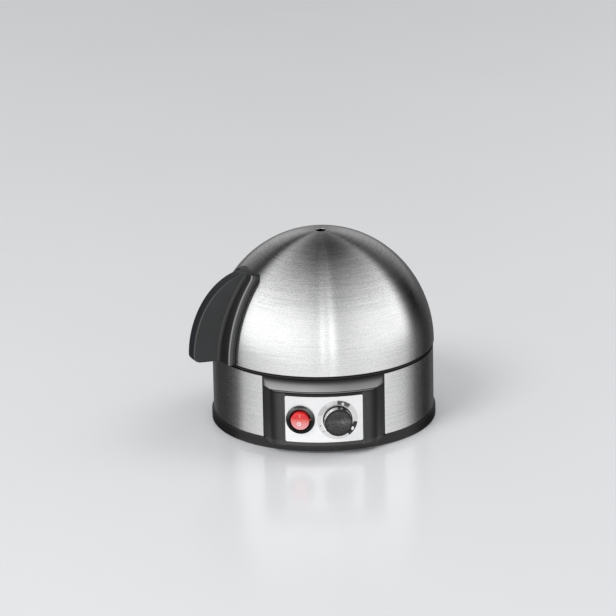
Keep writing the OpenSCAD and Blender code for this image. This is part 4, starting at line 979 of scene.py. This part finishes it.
# The studio round the object, as the brightness that steel sees by its turn from the front: upright steel sees the
# ground, steel that faces a little up the front and steel that faces far up the top. Rise is where front goes over into
# top, by share, and pole is where the lid's crown gets one brightness. Down is the main camera's angle
studio = {
    "down": 18.64, "backdrop": (0.80, 0.81, 0.83), "floor": (0.78, 0.79, 0.81), "plain": 0.62,
    "ground": [(-90, 0.15), (-80, 0.12), (-72, 0.05), (-62, 0.047), (-55, 0.075), (-50, 0.15), (-45, 0.58), (-38, 0.75),
               (-20, 1.02), (-7, 1.06), (-2, 0.98), (0, 1.12), (2.5, 0.98), (5, 1.12), (8, 0.92), (30, 0.90),
               (40, 0.76), (46, 0.62), (51, 0.33), (56, 0.11), (64, 0.034), (70, 0.04), (77, 0.09), (90, 0.12)],
    "front": [(-90, 0.30), (-74, 0.07), (-61, 0.02), (-55, 0.08), (-51, 0.75), (-47, 1.38), (-40, 1.45), (-20, 1.38),
              (-8, 1.22), (-2, 1.04), (0, 1.72), (2.5, 0.93), (5, 1.82), (8, 0.88), (12, 0.92), (24, 1.13), (34, 1.22),
              (50, 1.33), (53, 0.8), (57, 0.17), (61, 0.03), (68, 0.0), (74, 0.08), (80, 0.18), (90, 0.24)],
    "top": [(-90, 0.46), (-80, 0.38), (-70, 0.24), (-60, 0.05), (-56, 0.02), (-52, 0.07), (-47, 0.28), (-42, 0.37),
            (-35, 0.26), (-24, 0.14), (-8, 0.065), (-2, 0.05), (0, 0.10), (2.5, 0.05), (5, 0.11), (8, 0.035),
            (24, 0.045), (36, 0.085), (45, 0.18), (48, 0.18), (54, 0.05), (60, 0.08), (70, 0.22), (80, 0.33),
            (90, 0.42)],
    "rise": (20, 62), "bend": 0.15, "pole": (78, 88), "poleShade": 0.23,
    "share": [(0, 0.0), (0.1, 0.03), (0.31, 0.40), (0.55, 0.67), (0.79, 0.87), (1, 1.0)],
    "lamps": [("keyLight", (-1.1, -1.3, 1.9), 1.1, 24.0), ("fillLight", (1.4, 0.6, 2.2), 1.4, 14.0)],
}


# Brightness by a turn from the front, in radians
def byTurn(turn, stops):
    return ramp(between(turn, -np.pi / 2, np.pi / 2), [((d + 90) / 180, v) for d, v in stops])


# World: plain light for matt surfaces, a pale backdrop for the camera, and for gloss the studio round the object.
# A direction is halved with the one to the main camera, and the half's turn and rise pick the brightness. The rise
# counts less by bend times the turn
def makeWorld():
    world = bpy.data.worlds.new("studio")
    scene.world = world
    world.use_nodes = True
    world.cycles.sampling_method = "NONE"
    tree = world.node_tree
    tree.nodes.clear()
    e = np.radians(studio["down"])
    ray = made(tree, "TexCoord", None, "Generated")
    half = made(tree, "VectorMath", {0: ray, 1: (0, -np.cos(e), np.sin(e))}, operation="ADD")
    x, y, z = partsOf(made(tree, "VectorMath", {0: half}, operation="NORMALIZE"))
    turn, rise = x.maths("ARCTAN2", y * -1.0), z.maths("ARCSINE") * inDegrees
    bent = turn.maths("ABSOLUTE") * (-studio["bend"] * inDegrees) + rise
    share = ramp(between(bent, *studio["rise"]), studio["share"])
    glow = mixColour(share, byTurn(turn, studio["front"]), byTurn(turn, studio["top"]))
    glow = mixColour(between(rise, *studio["pole"]), glow, studio["poleShade"])
    rays = addNode(tree, "LightPath").outputs
    light = mixColour(Value(rays["Is Glossy Ray"]), studio["plain"], glow)
    light = mixColour(Value(rays["Is Camera Ray"]), light, studio["backdrop"])
    shader = made(tree, "Background", {"Color": light, "Strength": 1.0})
    addNode(tree, "OutputWorld", {"Surface": shader})


# Floor: pale and satin. Gloss sees each spot of it as bright as the upright steel that mirrors the spot asks for. The
# steel's turn is half the sum of the spot's turn and the arcsine of radius * sine of the steel's turn / distance
def makeFloor():
    finish, plain, place, _ = newFinish("paleFloor", Specular_IOR_Level=0.35)
    finish.cycles.emission_sampling = "NONE"
    tree = finish.node_tree
    x, y, _ = partsOf(place)
    pale = [v * 1.015 for v in studio["floor"]]
    feed(plain.inputs["Base Color"], ramp(noise(place, 6.0), [(0.3, studio["floor"]), (0.7, pale)]))
    feed(plain.inputs["Roughness"], spread(noise(place, 900.0), 0.16, 0.22))
    turn = x.maths("ARCTAN2", y * -1.0)
    near = made(tree, "Math", {0: band["outer"] * mm, 1: distance(x, y)}, operation="DIVIDE")
    seen = turn * 0.6
    for _ in range(3):
        seen = (turn + (near * seen.maths("SINE")).maths("ARCSINE")) * 0.5
    glow = made(tree, "Emission", {"Color": byTurn(seen, studio["ground"]), "Strength": 1.0})
    glossy = made(tree, "LightPath", None, "Is Glossy Ray")
    surface = made(tree, "MixShader", {0: glossy, 1: Value(plain.outputs[0]), 2: glow})
    feed(tree.nodes["Material Output"].inputs["Surface"], surface)
    r = np.concatenate([[0], np.geomspace(0.15, 14.0, 24)])
    mesh = makeMesh("floor", [revolve([joined(r / mm, 0)], steps=96)], 35, (0, 0, 1))
    mesh.materials.append(finish)
    floor = bpy.data.objects.new("floor", mesh)
    scene.collection.objects.link(floor)
    floor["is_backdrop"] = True


# Soft box: a round area lamp that looks at the object's middle
def addLamp(name, place, size, power):
    lamp = bpy.data.objects.new(name, bpy.data.lights.new(name, "AREA"))
    lamp.data.shape, lamp.data.size, lamp.data.energy = "DISK", size, power
    scene.collection.objects.link(lamp)
    away = (Vector(place) - Vector((0, 0, 0.08))).to_track_quat("Z", "Y")
    lamp.matrix_world = Matrix.Translation(place) @ away.to_matrix().to_4x4()
    lamp.visible_glossy = False


# The photograph's view: the camera's place, its turns in radians, the film's width in mm and the focal length in pixels
view = {"place": (0.0, -3.0, 1.1027), "pitch": 0.325335, "yaw": -0.0037964, "roll": -0.0194375, "film": 36.0,
        "focal": 3894.93, "pixels": 616, "clip": (0.1, 60.0)}


# Camera at the photograph's place: a direction down from the level, a small turn and a small roll
def makeCamera():
    pitch, yaw, roll = view["pitch"], view["yaw"], view["roll"]
    forward = np.array([np.sin(yaw) * np.cos(pitch), np.cos(yaw) * np.cos(pitch), -np.sin(pitch)])
    level = np.array([np.cos(yaw), -np.sin(yaw), 0.0])
    up = np.cross(level, forward)
    camera = bpy.data.objects.new("camera", bpy.data.cameras.new("camera"))
    camera.data.sensor_width, camera.data.lens = view["film"], view["focal"] / view["pixels"] * view["film"]
    camera.data.clip_start, camera.data.clip_end = view["clip"]
    matrix = np.eye(4)
    matrix[:3, 0], matrix[:3, 1] = turned(level, up, -roll)
    matrix[:3, 2], matrix[:3, 3] = -forward, view["place"]
    camera.matrix_world = Matrix(matrix.tolist())
    scene.collection.objects.link(camera)
    scene.camera = camera


makeWorld()
makeFloor()
for lamp in studio["lamps"]:
    addLamp(*lamp)
makeCamera()
print("studio made")

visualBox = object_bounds()
for name, box in (("CAD", cadBox), ("visual", visualBox)):
    print(name, "box", [[round(v, 4) for v in corner] for corner in box])
